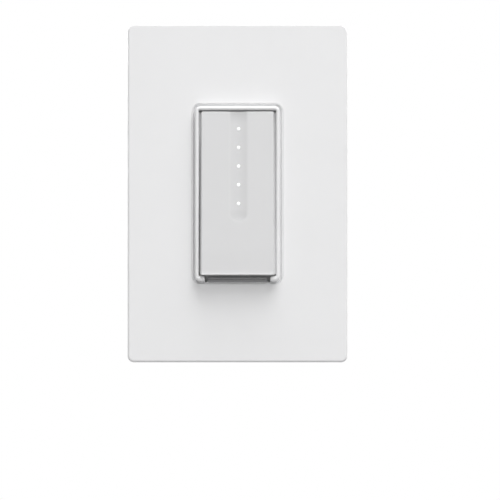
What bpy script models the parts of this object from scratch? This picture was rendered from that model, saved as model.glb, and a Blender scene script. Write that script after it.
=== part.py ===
"""Smart dimmer switch with its screwless wall plate, piece by piece.

Metres, +Z up. The front faces -Y and the wall's surface is the plane y = 0.
The origin is the middle of the wall plate on that surface.
"""
import math

import bmesh
import bpy
from mathutils import Matrix, Vector

# Clearances
FIT = 0.0003                # between pieces that seat on each other
PIN_FIT = 0.0001            # round a light pin in its hole
RUNNING_FIT = 0.0004        # round a shaft, a screw or a sliding stem
EMBED = 0.0004              # how far a joined form reaches into its carrier
SMALL_CORNER = 0.0004       # of boards, moulded bodies and sharp inner corners

# Wall plate and the frame that it snaps on
PLATE_WIDTH = 0.0811
PLATE_BEYOND_STRAP = 0.0092 # at the top and at the bottom
PLATE_CORNER = 0.0024
PLATE_ROUND = 0.0010
PLATE_WALL = 0.0018
SUB_SIDE_MARGIN = 0.00455   # from the plate's sides
SUB_END_MARGIN = 0.00555    # from the plate's top and bottom
SUB_THICKNESS = 0.0013
SUB_RIM = 0.0015
SUB_CORNER = 0.0030
SUB_BOSS_WALL = 0.0012
CATCH_SPACING = 0.0420      # middle to middle of the plate's snap catches
CATCH_WIDTH = 0.0090
CATCH_THICKNESS = 0.0015
CATCH_BITE = 0.0012

# Metal strap
STRAP_THICKNESS = 0.0013
STRAP_CORNER = 0.0015
STRAP_SIDE_OVERHANG = 0.00025
STRAP_END_OVERHANG = 0.0020 # of the wide middle beyond the rear housing
STRAP_END = 0.00445         # beyond the plate screws
EAR_WIDTH = 0.0320
EAR_CORNER = 0.0045
EAR_NOTCH = 0.0014          # radius of the break-off notches at the ears' sides
BOX_SCREW_BEYOND = 0.00665  # beyond the rear housing
PLATE_SCREW_BEYOND = 0.00675 # beyond the box screw
BOX_SLOT_WIDTH = 0.0080
BOX_SLOT_HEIGHT = 0.0042
GROUND_TAB_WIDTH = 0.0075
GROUND_TAB_REACH = 0.0090
GROUND_TAB_X = -0.0112
GROUND_TAB_DROP = 0.0012    # below the strap's wide middle

# Bezel
BEZEL_CORNER = 0.0025
BEZEL_PROUD = 0.0032        # in front of the wall plate
FLANGE_REACH = 0.0020
FLANGE_THICKNESS = 0.0012
BEAD_INSET = 0.0011         # cove outside the rounded bead
BEAD_WIDTH = 0.0012
BEAD_RISE = 0.0005
LEDGE_WIDTH = 0.0005        # at the top and the bottom of the opening
SIDE_LEDGE = 0.0001
LEDGE_DEPTH = 0.0017
CHIN_DEPTH = 0.0011         # floor of the chin behind the wall plate's face
HOOK_WIDTH = 0.00475        # of the bezel's hooks beside the open chin
SIDE_FOOT = 0.0001          # where the bezel's cove starts, in front of the plate's face
COVE_RISE = 0.0011          # from there to the foot of the bead's wall
COVE_GAP = 0.00005          # from the cove's end to the bead's wall
COVE_STEPS = 4
LEG_WIDTH = 0.0040
LEG_THICKNESS = 0.0014
LEG_BITE = 0.0008
LEG_HOOK = 0.0016
LEG_INSET = 0.00115         # from the bezel's side
LEG_FROM_END = 0.00975
BOARD_CLIP_REACH = 0.0009
BOARD_CLIP_DEPTH = 0.0008
BOARD_CLIP_WIDTH = 0.0040

# Paddle
PADDLE_WIDTH = 0.02644
PADDLE_HEIGHT = 0.0598
PADDLE_DEPTH = 0.0055
PADDLE_FACE = 0.0016
PADDLE_SKIRT = 0.0014
PADDLE_CORNER = 0.0008
PADDLE_ROUND = 0.00045
PADDLE_DRAFT = 0.00078      # how far the base stands out beyond the face, at each side
DRAFT_DEPTH = 0.0020        # of the sloped sides
PADDLE_SIDE_GAP = 0.00035   # from the base to the bezel's opening, at each side
PADDLE_END_GAPS = 0.0011    # at the top and the bottom together
PADDLE_TOP = 0.0011         # above the hinge
PADDLE_TILT = math.radians(-2.0)
HINGE_TO_FACE = 0.0050
HINGE_BEHIND_BEZEL = 0.0052
TRUNNION_RADIUS = 0.0011
TRUNNION_LENGTH = 0.0013
STOP_LENGTH = 0.0030
STOP_THICKNESS = 0.0010
STOP_ABOVE_END = 0.0050
PRESS_ANGLE = math.radians(1.2)
GROOVE_WIDTH = 0.0066
GROOVE_DEPTH = 0.0009
GROOVE_END_SHARE = 0.6      # how far its end is pressed flat
GROOVE_TO_END = 0.0194      # from the groove's round end to the paddle's lower edge
BACKING_WIDTH = 0.0104      # thicker wall behind the groove
BACKING_DEPTH = 0.0012
BACKING_BEYOND = 0.0030     # below the groove
RIB_WIDTH = 0.0009
RIB_OVERLAP = 0.0012        # of the side ribs with the touch board
RIB_FROM_EDGE = 0.0040      # from the paddle's edge
SPRING_PEG_HEIGHT = 0.0016
SPRING_PEG_RADIUS = 0.0011

# Lights
DOT_COUNT = 5
FIRST_DOT = 0.0064          # below the paddle's top edge
LAST_DOT = 0.00664          # above the groove's round end
DOT_OFFSET = 0.0004         # of dots and groove, to the right of the middle
DOT_RADIUS = 0.0007
GUIDE_WIDTH = 0.0030
GUIDE_THICKNESS = 0.0008
PIN_SUNK = 0.00002          # ends of the pins below the groove's floor
LED_WIDTH = 0.0016
LED_HEIGHT = 0.0010
LED_THICKNESS = 0.0005

# Boards in the front
SHEET_THICKNESS = 0.0003
BOARD_THICKNESS = 0.0010
TOUCH_THICKNESS = 0.0008
TOUCH_SIDE_GAP = 0.00042    # to the paddle's skirt
TOUCH_TOP_GAP = 0.0012      # to the paddle's skirt at the top
TOUCH_ABOVE_TACT = 0.0040
RIBBON_WIDTH = 0.0045
RIBBON_THICKNESS = 0.0002
RIBBON_BEND = 0.00075
RIBBON_EDGE = 0.0005        # from the touch board's side
RIBBON_BELOW_HINGE = 0.0020
RIBBON_FRONT_LEG = 0.0018
RIBBON_BACK_LEG = 0.0030
TACT_SIZE = 0.0060
TACT_DEPTH = 0.0030
TACT_ABOVE_END = 0.0118     # its middle, from the paddle's height below the hinge
PLUNGER_RADIUS = 0.0016
PLUNGER_LENGTH = 0.0024
PLUNGER_PROUD = 0.0011
SPRING_ABOVE_END = 0.0078
SPRING_INSET = 0.00442      # from the paddle's side
SPRING_RADIUS = 0.0020
SPRING_WIRE = 0.0005
SPRING_TURNS = 5
RADIO_WIDTH = 0.0090
RADIO_HEIGHT = 0.0170
RADIO_DEPTH = 0.0018
RADIO_RIM = 0.0008          # of its board round the shield
RADIO_ABOVE_TACT = 0.0029

# Air-gap tab
TAB_END_GAP = 0.00095       # to the bezel's hooks
TAB_HEIGHT = 0.0026
TAB_CORNER = 0.0004
TAB_STEP_HEIGHT = 0.00099   # of the upper part that stands back
TAB_DEPTH = 0.0023
TAB_STEP = 0.0008
TAB_PULL = 0.0030
STEM_WIDTH = 0.0080
STEM_THICKNESS = 0.0010
STEM_REACH = 0.0050         # behind the wall's surface
LEAF_THICKNESS = 0.0004
LEAF_WIDTH = 0.0050
RISER_ABOVE_STEM = 0.0040
CONTACT_RADIUS = 0.0014
CONTACT_DOME = 0.0004
CONTACT_HEAD = 0.0009
CONTACT_POST = 0.0009

# Rear housing
HOUSING_WIDTH = 0.0435
HOUSING_BEYOND_BEZEL = 0.00175
PARTS_CLEARANCE = 0.0006    # behind the tallest piece on the power board
HOUSING_WALL = 0.0018
HOUSING_CORNER = 0.0016
HOUSING_CHAMFER = 0.0014
HOUSING_SCREW_SIDE = 0.00385 # from the housing's side
HOUSING_SCREW_END = 0.0038  # from the housing's end
HOUSING_BOSS = 0.0028
WELL_DEPTH = 0.0030
HOUSING_SCREW_RADIUS = 0.0012
HOUSING_HEAD_RADIUS = 0.0022
HOUSING_HEAD_HEIGHT = 0.0019
LABEL_SIDE = 0.0080         # from the housing's side to the recess for a label
LABEL_END = 0.0160
LABEL_DEPTH = 0.0004
GAUGE_LENGTH = 0.0127       # groove that shows how far to strip a wire
GAUGE_WIDTH = 0.0020
GAUGE_DEPTH = 0.0007
GAUGE_FROM_END = 0.0095

# Terminals
TERMINAL_Z = 0.0140
POCKET_FROM_FRONT = 0.0027
POCKET_WIDTH = 0.0110
POCKET_HEIGHT = 0.0100      # along the housing's depth
POCKET_DEPTH = 0.0045
POCKET_WALL = 0.0015
TERMINAL_BOSS = 0.0028
CLAMP_THICKNESS = 0.0009
CLAMP_MARGIN = 0.0011       # from the clamp to the pocket's sides
CLAMP_ARM_WIDTH = 0.0040
CLAMP_TAIL_WIDTH = 0.0024
CLAMP_TAIL_INSIDE = 0.0020  # from the pocket's wall
TERMINAL_BOSS_COVER = 0.0020 # of the screw's tip
TERMINAL_HEAD_RADIUS = 0.0034
TERMINAL_HEAD_HEIGHT = 0.0018
TERMINAL_SCREW_RADIUS = 0.0017
TERMINAL_SCREW_LENGTH = 0.0052

# Mounting screws
BOX_SCREW_RADIUS = 0.0016
BOX_SCREW_LENGTH = 0.0190
BOX_HEAD_RADIUS = 0.0034
BOX_HEAD_HEIGHT = 0.0018
RETAINER_SIZE = 0.0090
RETAINER_THICKNESS = 0.0007
RETAINER_CORNER = 0.0010
PLATE_SCREW_RADIUS = 0.0015
PLATE_SCREW_LENGTH = 0.0080
PLATE_HEAD_RADIUS = 0.0032
PLATE_HEAD_HEIGHT = 0.0017
GROUND_SCREW_LENGTH = 0.0030
SLOT_WIDTH = 0.0009
SLOT_DEPTH = 0.0008

# Power board and what it carries
BOARD_BEHIND_POCKET = 0.0015
POWER_BOARD_THICKNESS = 0.0016
BOARD_EDGE_GAP = 0.00035
LEDGE_BLOCK_WIDTH = 0.0080
LEDGE_BLOCK_REACH = 0.0015
HEADER_PINS = 6
HEADER_PITCH = 0.00254
HEADER_FROM_TOP = 0.00695   # from the top of the bezel's opening
HEADER_CORNER = 0.0003
HEADER_DEPTH = 0.0030
HEADER_HEIGHT = 0.0030
PIN_SIZE = 0.0006
MOSFET_X = 0.0070
MOSFET_WIDTH = 0.0100
MOSFET_BODY = 0.0095
MOSFET_DEPTH = 0.0045
MOSFET_TAB = 0.0060
MOSFET_TAB_THICKNESS = 0.0013
MOSFET_BOTTOM = -0.0020
MOSFET_EDGE = 0.0006
MOSFET_HOLE = 0.0018
LEAD_PITCH = 0.00254
LEAD_WIDTH = 0.0008
LEAD_THICKNESS = 0.0005
LEAD_DROP = 0.0030
PAD_THICKNESS = 0.0004
PAD_SIDE = 0.0008           # beyond the transistors' sides
PAD_END = 0.0010
CHOKE_RADIUS = 0.0052
CHOKE_SECTION = 0.0033
CHOKE_SIDE_GAP = 0.0012     # to the housing's wall
CHOKE_FROM_END = 0.0170     # its middle, from the housing's top
FILM_WIDTH = 0.0130
FILM_HEIGHT = 0.0100
FILM_DEPTH = 0.0088
FILM_SIDE_GAP = 0.0012
FILM_FROM_END = 0.0160
CORE_WIDTH = 0.0140
CORE_HEIGHT = 0.0080
CORE_DEPTH = 0.0090
COIL_WIDTH = 0.0090
COIL_HEIGHT = 0.0136
COIL_CORNER = 0.0015
CORE_X = 0.0020
CORE_Z = -0.0010
ELECTROLYTIC_RADIUS = 0.0040
ELECTROLYTIC_LENGTH = 0.0140
ELECTROLYTIC_SIDE_GAP = 0.00345
ELECTROLYTIC_FROM_END = 0.0215 # its middle, from the housing's lower end
VARISTOR_RADIUS = 0.0045
VARISTOR_THICKNESS = 0.0035
VARISTOR_X = 0.0095
VARISTOR_FROM_END = 0.0170
FUSE_RADIUS = 0.0014
FUSE_LENGTH = 0.0085
FUSE_X = -0.0100
FUSE_FROM_END = 0.0110

# Sizes that follow: each piece reaches a named distance beyond what it covers
BEAD_END = BEAD_INSET + BEAD_WIDTH
BEZEL_WALL = BEAD_END + LEDGE_WIDTH
BEZEL_SIDE_WALL = BEAD_END + SIDE_LEDGE
PADDLE_BASE = PADDLE_WIDTH + 2 * PADDLE_DRAFT
BEZEL_WIDTH = PADDLE_BASE + 2 * (BEZEL_SIDE_WALL + PADDLE_SIDE_GAP)
BEZEL_HEIGHT = PADDLE_HEIGHT + 2 * BEZEL_WALL + PADDLE_END_GAPS
CHIN_WIDTH = BEZEL_WIDTH - 2 * HOOK_WIDTH
TAB_WIDTH = CHIN_WIDTH - 2 * TAB_END_GAP
HOUSING_HEIGHT = BEZEL_HEIGHT + 2 * HOUSING_BEYOND_BEZEL
STRAP_WIDTH = HOUSING_WIDTH + 2 * STRAP_SIDE_OVERHANG
STRAP_BODY = HOUSING_HEIGHT + 2 * STRAP_END_OVERHANG
BOX_SCREW_SPACING = HOUSING_HEIGHT + 2 * BOX_SCREW_BEYOND
PLATE_SCREW_SPACING = BOX_SCREW_SPACING + 2 * PLATE_SCREW_BEYOND
STRAP_LENGTH = PLATE_SCREW_SPACING + 2 * STRAP_END
PLATE_HEIGHT = STRAP_LENGTH + 2 * PLATE_BEYOND_STRAP
SUB_WIDTH = PLATE_WIDTH - 2 * SUB_SIDE_MARGIN
SUB_HEIGHT = PLATE_HEIGHT - 2 * SUB_END_MARGIN
GROOVE_LENGTH = PADDLE_HEIGHT - GROOVE_TO_END
DOT_SPACING = (GROOVE_LENGTH - FIRST_DOT - LAST_DOT) / (DOT_COUNT - 1)
TACT_BELOW_HINGE = PADDLE_HEIGHT - TACT_ABOVE_END
SPRING_BELOW_HINGE = PADDLE_HEIGHT - SPRING_ABOVE_END
SPRING_X = PADDLE_WIDTH / 2 - SPRING_INSET
TOUCH_WIDTH = PADDLE_WIDTH - 2 * (PADDLE_SKIRT + TOUCH_SIDE_GAP)
TOUCH_TOP = PADDLE_TOP - PADDLE_SKIRT - TOUCH_TOP_GAP
TOUCH_BOTTOM = TACT_SIZE / 2 + TOUCH_ABOVE_TACT - TACT_BELOW_HINGE

# Planes along the depth, from the wall forwards
STRAP_FRONT = -STRAP_THICKNESS
FLANGE_BACK = STRAP_FRONT - FIT
FLANGE_FRONT = FLANGE_BACK - FLANGE_THICKNESS
SUB_BACK = FLANGE_FRONT - FIT
SUB_FRONT = SUB_BACK - SUB_THICKNESS
PLATE_INNER = SUB_FRONT - FIT
PLATE_FRONT = PLATE_INNER - PLATE_WALL
BEZEL_FRONT = PLATE_FRONT - BEZEL_PROUD
SHEET_FRONT = STRAP_FRONT - FIT - SHEET_THICKNESS
BOARD_BACK = SHEET_FRONT - FIT
BOARD_FRONT = BOARD_BACK - BOARD_THICKNESS
CHIN_FLOOR = PLATE_FRONT + CHIN_DEPTH
# and behind the wall
HOUSING_FRONT = FIT
TERMINAL_Y = HOUSING_FRONT + POCKET_FROM_FRONT + POCKET_HEIGHT / 2
POWER_BOARD_Y = TERMINAL_Y + POCKET_HEIGHT / 2 + POCKET_WALL + BOARD_BEHIND_POCKET
POWER_BOARD_BACK = POWER_BOARD_Y + POWER_BOARD_THICKNESS
PARTS_FRONT = POWER_BOARD_Y - FIT
PARTS_BACK = POWER_BOARD_BACK + FIT
TALLEST_PART = max(CORE_DEPTH, FILM_DEPTH, 2 * ELECTROLYTIC_RADIUS, 2 * CHOKE_SECTION)
HOUSING_BACK = PARTS_BACK + TALLEST_PART + PARTS_CLEARANCE + HOUSING_WALL

# Places across the face
INNER_X = BEZEL_WIDTH / 2 - BEZEL_SIDE_WALL
INNER_Z = BEZEL_HEIGHT / 2 - BEZEL_WALL
HINGE_Y = BEZEL_FRONT + HINGE_BEHIND_BEZEL
HINGE_Z = INNER_Z - FIT - PADDLE_TOP - HINGE_TO_FACE * math.sin(-PADDLE_TILT)
PADDLE_BACK = PADDLE_DEPTH - HINGE_TO_FACE
FACE_BACK = PADDLE_FACE - HINGE_TO_FACE
BACKING_BACK = FACE_BACK + BACKING_DEPTH
TOUCH_FRONT = BACKING_BACK + FIT
TOUCH_BACK = TOUCH_FRONT + TOUCH_THICKNESS
GUIDE_FRONT = TOUCH_BACK + FIT
STEM_Z = -(BEZEL_HEIGHT - BEZEL_WALL) / 2
LEG_X = BEZEL_WIDTH / 2 - LEG_INSET
LEG_Z = BEZEL_HEIGHT / 2 - LEG_FROM_END
HEADER_Z = INNER_Z - HEADER_FROM_TOP
HEADER_WIDTH = HEADER_PINS * HEADER_PITCH
HOUSING_SCREW_X = HOUSING_WIDTH / 2 - HOUSING_SCREW_SIDE
HOUSING_SCREW_Z = HOUSING_HEIGHT / 2 - HOUSING_SCREW_END
POCKET_FLOOR = HOUSING_WIDTH / 2 - POCKET_DEPTH
HOUSING_INNER_X = HOUSING_WIDTH / 2 - HOUSING_WALL
CHOKE_X = CHOKE_RADIUS + CHOKE_SECTION + CHOKE_SIDE_GAP - HOUSING_INNER_X
CHOKE_Z = HOUSING_HEIGHT / 2 - CHOKE_FROM_END
FILM_X = HOUSING_INNER_X - FILM_SIDE_GAP - FILM_WIDTH / 2
FILM_Z = HOUSING_HEIGHT / 2 - FILM_FROM_END
ELECTROLYTIC_X = ELECTROLYTIC_RADIUS + ELECTROLYTIC_SIDE_GAP - HOUSING_INNER_X
ELECTROLYTIC_Z = ELECTROLYTIC_FROM_END - HOUSING_HEIGHT / 2
VARISTOR_Z = VARISTOR_FROM_END - HOUSING_HEIGHT / 2
FUSE_Z = FUSE_FROM_END - HOUSING_HEIGHT / 2

FINISHES = {
    "white_plastic": ((0.83, 0.83, 0.84), 0.38, 0.0),
    "soft_white_plastic": ((0.72, 0.72, 0.73), 0.45, 0.0),
    "inner_white_plastic": ((0.76, 0.76, 0.75), 0.5, 0.0),
    "grey_plastic": ((0.17, 0.18, 0.19), 0.55, 0.0),
    "tab_plastic": ((0.3, 0.3, 0.305), 0.45, 0.0),
    "black_plastic": ((0.02, 0.02, 0.022), 0.4, 0.0),
    "yellow_plastic": ((0.75, 0.52, 0.08), 0.4, 0.0),
    "clear_plastic": ((0.9, 0.92, 0.95), 0.1, 0.0),
    "steel": ((0.62, 0.62, 0.6), 0.35, 1.0),
    "spring_steel": ((0.5, 0.5, 0.5), 0.25, 1.0),
    "brass": ((0.72, 0.52, 0.24), 0.3, 1.0),
    "copper": ((0.72, 0.33, 0.18), 0.35, 1.0),
    "green_screw": ((0.05, 0.32, 0.12), 0.35, 0.6),
    "circuit_board": ((0.02, 0.18, 0.07), 0.45, 0.0),
    "fibre": ((0.55, 0.42, 0.26), 0.8, 0.0),
    "ceramic": ((0.1, 0.22, 0.5), 0.45, 0.0),
    "amber_film": ((0.65, 0.32, 0.06), 0.3, 0.0),
    "light": ((0.95, 0.95, 0.9), 0.3, 0.0),
}


def clear_scene():
    for old in list(bpy.data.objects):
        bpy.data.objects.remove(old, do_unlink=True)


def new_collection(name):
    made = bpy.data.collections.new(name)
    bpy.context.scene.collection.children.link(made)
    return made


clear_scene()
PARTS = new_collection("smart_dimmer_switch")
CUTTERS = new_collection("cutters")


def give_finish(piece, kind):
    """Give the piece a material of its own, of one kind from FINISHES."""
    colour, roughness, metallic = FINISHES[kind]
    made = bpy.data.materials.new(piece.name + "_" + kind)
    made.use_nodes = True
    shader = made.node_tree.nodes["Principled BSDF"]
    shader.inputs["Base Color"].default_value = (*colour, 1.0)
    shader.inputs["Roughness"].default_value = roughness
    shader.inputs["Metallic"].default_value = metallic
    piece.data.materials.append(made)


def make_object(name, bm, home, origin=(0, 0, 0), parent=None):
    """Turn the shapes in bm, drawn in place, into an object with its own origin."""
    bmesh.ops.translate(bm, vec=-Vector(origin), verts=bm.verts)
    if bm.faces:
        bmesh.ops.recalc_face_normals(bm, faces=bm.faces)
    mesh = bpy.data.meshes.new(name)
    bm.to_mesh(mesh)
    bm.free()
    piece = bpy.data.objects.new(name, mesh)
    piece.location = origin
    piece.parent = parent
    home.objects.link(piece)
    return piece


def make_part(name, kind, bm, origin=(0, 0, 0), parent=None):
    piece = make_object(name, bm, PARTS, origin, parent)
    give_finish(piece, kind)
    return piece


def combine(piece, operation, bm, parent=None, crossing=False):
    """Cut the shapes in bm out of the piece, or join them to it; crossing shapes overlap."""
    tool = make_object(piece.name + "_" + operation.lower(), bm, CUTTERS, parent=parent)
    tool.hide_render = True
    tool.display_type = "WIRE"
    step = piece.modifiers.new(operation.lower(), "BOOLEAN")
    step.operation = operation
    step.solver = "EXACT"
    step.use_self = crossing
    step.object = tool
    return tool


def cut(piece, bm, parent=None):
    return combine(piece, "DIFFERENCE", bm, parent)


def join(piece, bm, parent=None, crossing=False):
    return combine(piece, "UNION", bm, parent, crossing)


def around(middle, size):
    return (middle - size / 2, middle + size / 2)


def bevel_edges(bm, radius, steps, chosen):
    edges = [edge for edge in bm.edges if chosen(edge)]
    bmesh.ops.bevel(
        bm, geom=edges, offset=radius, offset_type="OFFSET", segments=steps,
        profile=0.5, affect="EDGES", clamp_overlap=True,
    )


def add_block(bm, x, y, z, corner=0.0, axis="Y", front=0.0, back=0.0, steps=3):
    """Add a block between the (low, high) pairs, its edges along one axis rounded."""
    block = bmesh.new()
    sides = (x, y, z)
    size = Vector([high - low for low, high in sides])
    middle = Vector([(high + low) / 2 for low, high in sides])
    place = Matrix.Translation(middle) @ Matrix.Diagonal((*size, 1.0))
    bmesh.ops.create_cube(block, size=1.0, matrix=place)
    if corner:
        along = "XYZ".index(axis)
        bevel_edges(block, corner, steps, lambda edge: abs(
            (edge.verts[0].co - edge.verts[1].co).normalized()[along]) > 0.99)
    for level, radius in ((y[0], front), (y[1], back)):
        if radius:
            bevel_edges(block, radius, steps, lambda edge: all(
                abs(corner_point.co.y - level) < 1e-7 for corner_point in edge.verts))
    loose = bpy.data.meshes.new("block")
    block.to_mesh(loose)
    block.free()
    bm.from_mesh(loose)
    bpy.data.meshes.remove(loose)


def add_rod(bm, axis, at, reach, radius, far_radius=None, sides=16):
    """Add a rod along an axis through the point, or a cone where the far end differs."""
    middle = Vector(at)
    middle["XYZ".index(axis)] = sum(reach) / 2
    turn = {
        "X": Matrix.Rotation(math.pi / 2, 4, "Y"),
        "Y": Matrix.Rotation(-math.pi / 2, 4, "X"),
        "Z": Matrix.Identity(4),
    }[axis]
    bmesh.ops.create_cone(
        bm, cap_ends=True, segments=sides, radius1=radius,
        radius2=radius if far_radius is None else far_radius,
        depth=reach[1] - reach[0], matrix=Matrix.Translation(middle) @ turn,
    )


def round_outline(half_width, half_height, radius, steps):
    """Points of a rectangle with round corners, in the XZ plane."""
    points = []
    for quarter in range(4):
        side_x = 1 if quarter in (0, 3) else -1
        side_z = 1 if quarter in (0, 1) else -1
        for step in range(steps + 1):
            angle = math.pi / 2 * (quarter + step / steps)
            points.append((
                side_x * (half_width - radius) + radius * math.cos(angle),
                side_z * (half_height - radius) + radius * math.sin(angle),
            ))
    return points


def add_frame(bm, width, height, corner, profile, steps=4):
    """Carry a closed profile of (inset, y) points round a rectangle with round corners."""
    loops = []
    for inset, y in profile:
        outline = round_outline(
            width / 2 - inset, height / 2 - inset, max(corner - inset, SMALL_CORNER), steps)
        loops.append([bm.verts.new((x, y, z)) for x, z in outline])
    for loop, following in zip(loops, loops[1:] + loops[:1]):
        count = len(loop)
        for index in range(count):
            after = (index + 1) % count
            bm.faces.new((loop[index], loop[after], following[after], following[index]))


def add_prism(bm, section, reach):
    """Carry a closed section of (x, y) points along Z, between the (low, high) pair."""
    low, high = [[bm.verts.new((x, y, z)) for x, y in section] for z in reach]
    count = len(section)
    for index in range(count):
        after = (index + 1) % count
        bm.faces.new((low[index], low[after], high[after], high[index]))
    bm.faces.new(low)
    bm.faces.new(high)


def new_shape():
    return bmesh.new()


def box_shape(x, y, z, **rounding):
    bm = new_shape()
    add_block(bm, x, y, z, **rounding)
    return bm


def turn_profile(piece, profile, steps=16):
    """Turn (radius, height) points, from the top down the outer side, about local Z."""
    bm = bmesh.new()
    points = [bm.verts.new((radius, 0.0, height)) for radius, height in profile]
    for start, end in zip(points, points[1:]):
        bm.edges.new((start, end))
    bm.to_mesh(piece.data)
    bm.free()
    spin = piece.modifiers.new("turn", "SCREW")
    spin.axis = "Z"
    spin.angle = 2 * math.pi
    spin.steps = steps
    spin.render_steps = steps
    spin.use_merge_vertices = True
    spin.merge_threshold = 0.00001
    spin.use_smooth_shade = True


def make_screw(name, kind, at, facing, head_radius, head_height, radius, length, flat=False):
    """A slotted screw: at is the middle of its head's seat, facing is where its head points."""
    piece = make_object(name, new_shape(), PARTS, at)
    give_finish(piece, kind)
    piece.rotation_euler = Vector((0, 0, 1)).rotation_difference(Vector(facing)).to_euler()
    edge = head_height * 0.25
    tip = radius * 0.6
    if flat:
        head = [(0, head_height), (head_radius, head_height), (radius, 0)]
    else:
        head = [(0, head_height), (head_radius - edge, head_height),
                (head_radius, head_height - edge), (head_radius, 0), (radius, 0)]
    turn_profile(piece, head + [(radius, -length + tip), (radius - tip, -length), (0, -length)])
    slot = box_shape(around(0, 3 * head_radius), around(0, SLOT_WIDTH),
                     (head_height - SLOT_DEPTH, head_height + EMBED))
    cut(piece, slot, parent=piece)
    return piece


def make_wall_plate():
    half_x = PLATE_WIDTH / 2
    half_z = PLATE_HEIGHT / 2
    plate = make_part("wall_plate", "white_plastic", box_shape(
        (-half_x, half_x), (PLATE_FRONT, 0), (-half_z, half_z),
        corner=PLATE_CORNER, front=PLATE_ROUND, steps=4))
    hollow = new_shape()
    add_block(hollow, around(0, PLATE_WIDTH - 2 * PLATE_WALL), (PLATE_INNER, EMBED),
              around(0, PLATE_HEIGHT - 2 * PLATE_WALL), corner=PLATE_CORNER / 2)
    cut(plate, hollow)
    window = new_shape()
    add_block(window, around(0, BEZEL_WIDTH + 2 * FIT), (PLATE_FRONT - EMBED, PLATE_INNER + EMBED),
              around(0, BEZEL_HEIGHT + 2 * FIT), corner=BEZEL_CORNER + FIT)
    cut(plate, window)
    catches = new_shape()
    for side_x in (-1, 1):
        for side_z in (-1, 1):
            x = around(side_x * CATCH_SPACING / 2, CATCH_WIDTH)
            arm = sorted((side_z * (SUB_HEIGHT / 2 + FIT),
                          side_z * (SUB_HEIGHT / 2 + FIT + CATCH_THICKNESS)))
            hook = sorted((side_z * (SUB_HEIGHT / 2 - CATCH_BITE),
                           side_z * (SUB_HEIGHT / 2 + FIT + CATCH_THICKNESS)))
            depth = SUB_BACK + FIT
            add_block(catches, x, (PLATE_INNER - EMBED, depth + EMBED), arm)
            add_block(catches, x, (depth, depth + CATCH_THICKNESS), hook)
    join(plate, catches, crossing=True)


def make_sub_plate():
    rim_back = -FIT
    plate = make_part("sub_plate", "inner_white_plastic", box_shape(
        around(0, SUB_WIDTH), (SUB_FRONT, rim_back), around(0, SUB_HEIGHT), corner=SUB_CORNER))
    hollow = new_shape()
    add_block(hollow, around(0, SUB_WIDTH - 2 * SUB_RIM), (SUB_BACK, EMBED),
              around(0, SUB_HEIGHT - 2 * SUB_RIM), corner=SUB_CORNER / 2)
    cut(plate, hollow)
    bosses = new_shape()
    boss_radius = PLATE_SCREW_RADIUS + FIT + SUB_BOSS_WALL
    for side_z in (-1, 1):
        add_rod(bosses, "Y", (0, 0, side_z * PLATE_SCREW_SPACING / 2),
                (SUB_BACK - EMBED, FLANGE_BACK), boss_radius)
    join(plate, bosses)
    holes = new_shape()
    add_block(holes, around(0, BEZEL_WIDTH + 2 * FIT), (SUB_FRONT - EMBED, SUB_BACK + EMBED),
              around(0, BEZEL_HEIGHT + 2 * FIT), corner=BEZEL_CORNER + FIT)
    notch = CATCH_WIDTH + 2 * FIT
    notch_depth = CATCH_BITE + FIT
    for side_z in (-1, 1):
        for side_x in (-1, 1):
            edge = sorted((side_z * (SUB_HEIGHT / 2 - notch_depth - FIT),
                           side_z * (SUB_HEIGHT / 2 + FIT)))
            add_block(holes, around(side_x * CATCH_SPACING / 2, notch), (SUB_BACK, FIT), edge)
        add_rod(holes, "Y", (0, 0, side_z * BOX_SCREW_SPACING / 2),
                (SUB_FRONT - EMBED, SUB_BACK + EMBED), BOX_HEAD_RADIUS + FIT, sides=20)
    cut(plate, holes)
    screw_holes = new_shape()
    for side_z in (-1, 1):
        z = side_z * PLATE_SCREW_SPACING / 2
        seat = SUB_FRONT + PLATE_HEAD_HEIGHT + FIT
        slope = (PLATE_HEAD_RADIUS - PLATE_SCREW_RADIUS) / PLATE_HEAD_HEIGHT
        add_rod(screw_holes, "Y", (0, 0, z), (SUB_FRONT - FIT, seat),
                PLATE_SCREW_RADIUS + FIT + slope * (seat - SUB_FRONT + FIT),
                PLATE_SCREW_RADIUS + FIT)
    cut(plate, screw_holes)
    through = new_shape()
    for side_z in (-1, 1):
        add_rod(through, "Y", (0, 0, side_z * PLATE_SCREW_SPACING / 2),
                (SUB_FRONT + FIT, FLANGE_BACK + EMBED), PLATE_SCREW_RADIUS + FIT)
    cut(plate, through)


def make_plate_screws():
    seat = SUB_FRONT + FIT + PLATE_HEAD_HEIGHT - PIN_FIT
    for word, side_z in (("top", 1), ("bottom", -1)):
        make_screw("plate_screw_" + word, "white_plastic",
                   (0, seat, side_z * PLATE_SCREW_SPACING / 2), (0, -1, 0),
                   PLATE_HEAD_RADIUS, PLATE_HEAD_HEIGHT, PLATE_SCREW_RADIUS,
                   PLATE_SCREW_LENGTH, flat=True)


def ground_tab_top():
    return -STRAP_BODY / 2 - GROUND_TAB_DROP


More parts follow.
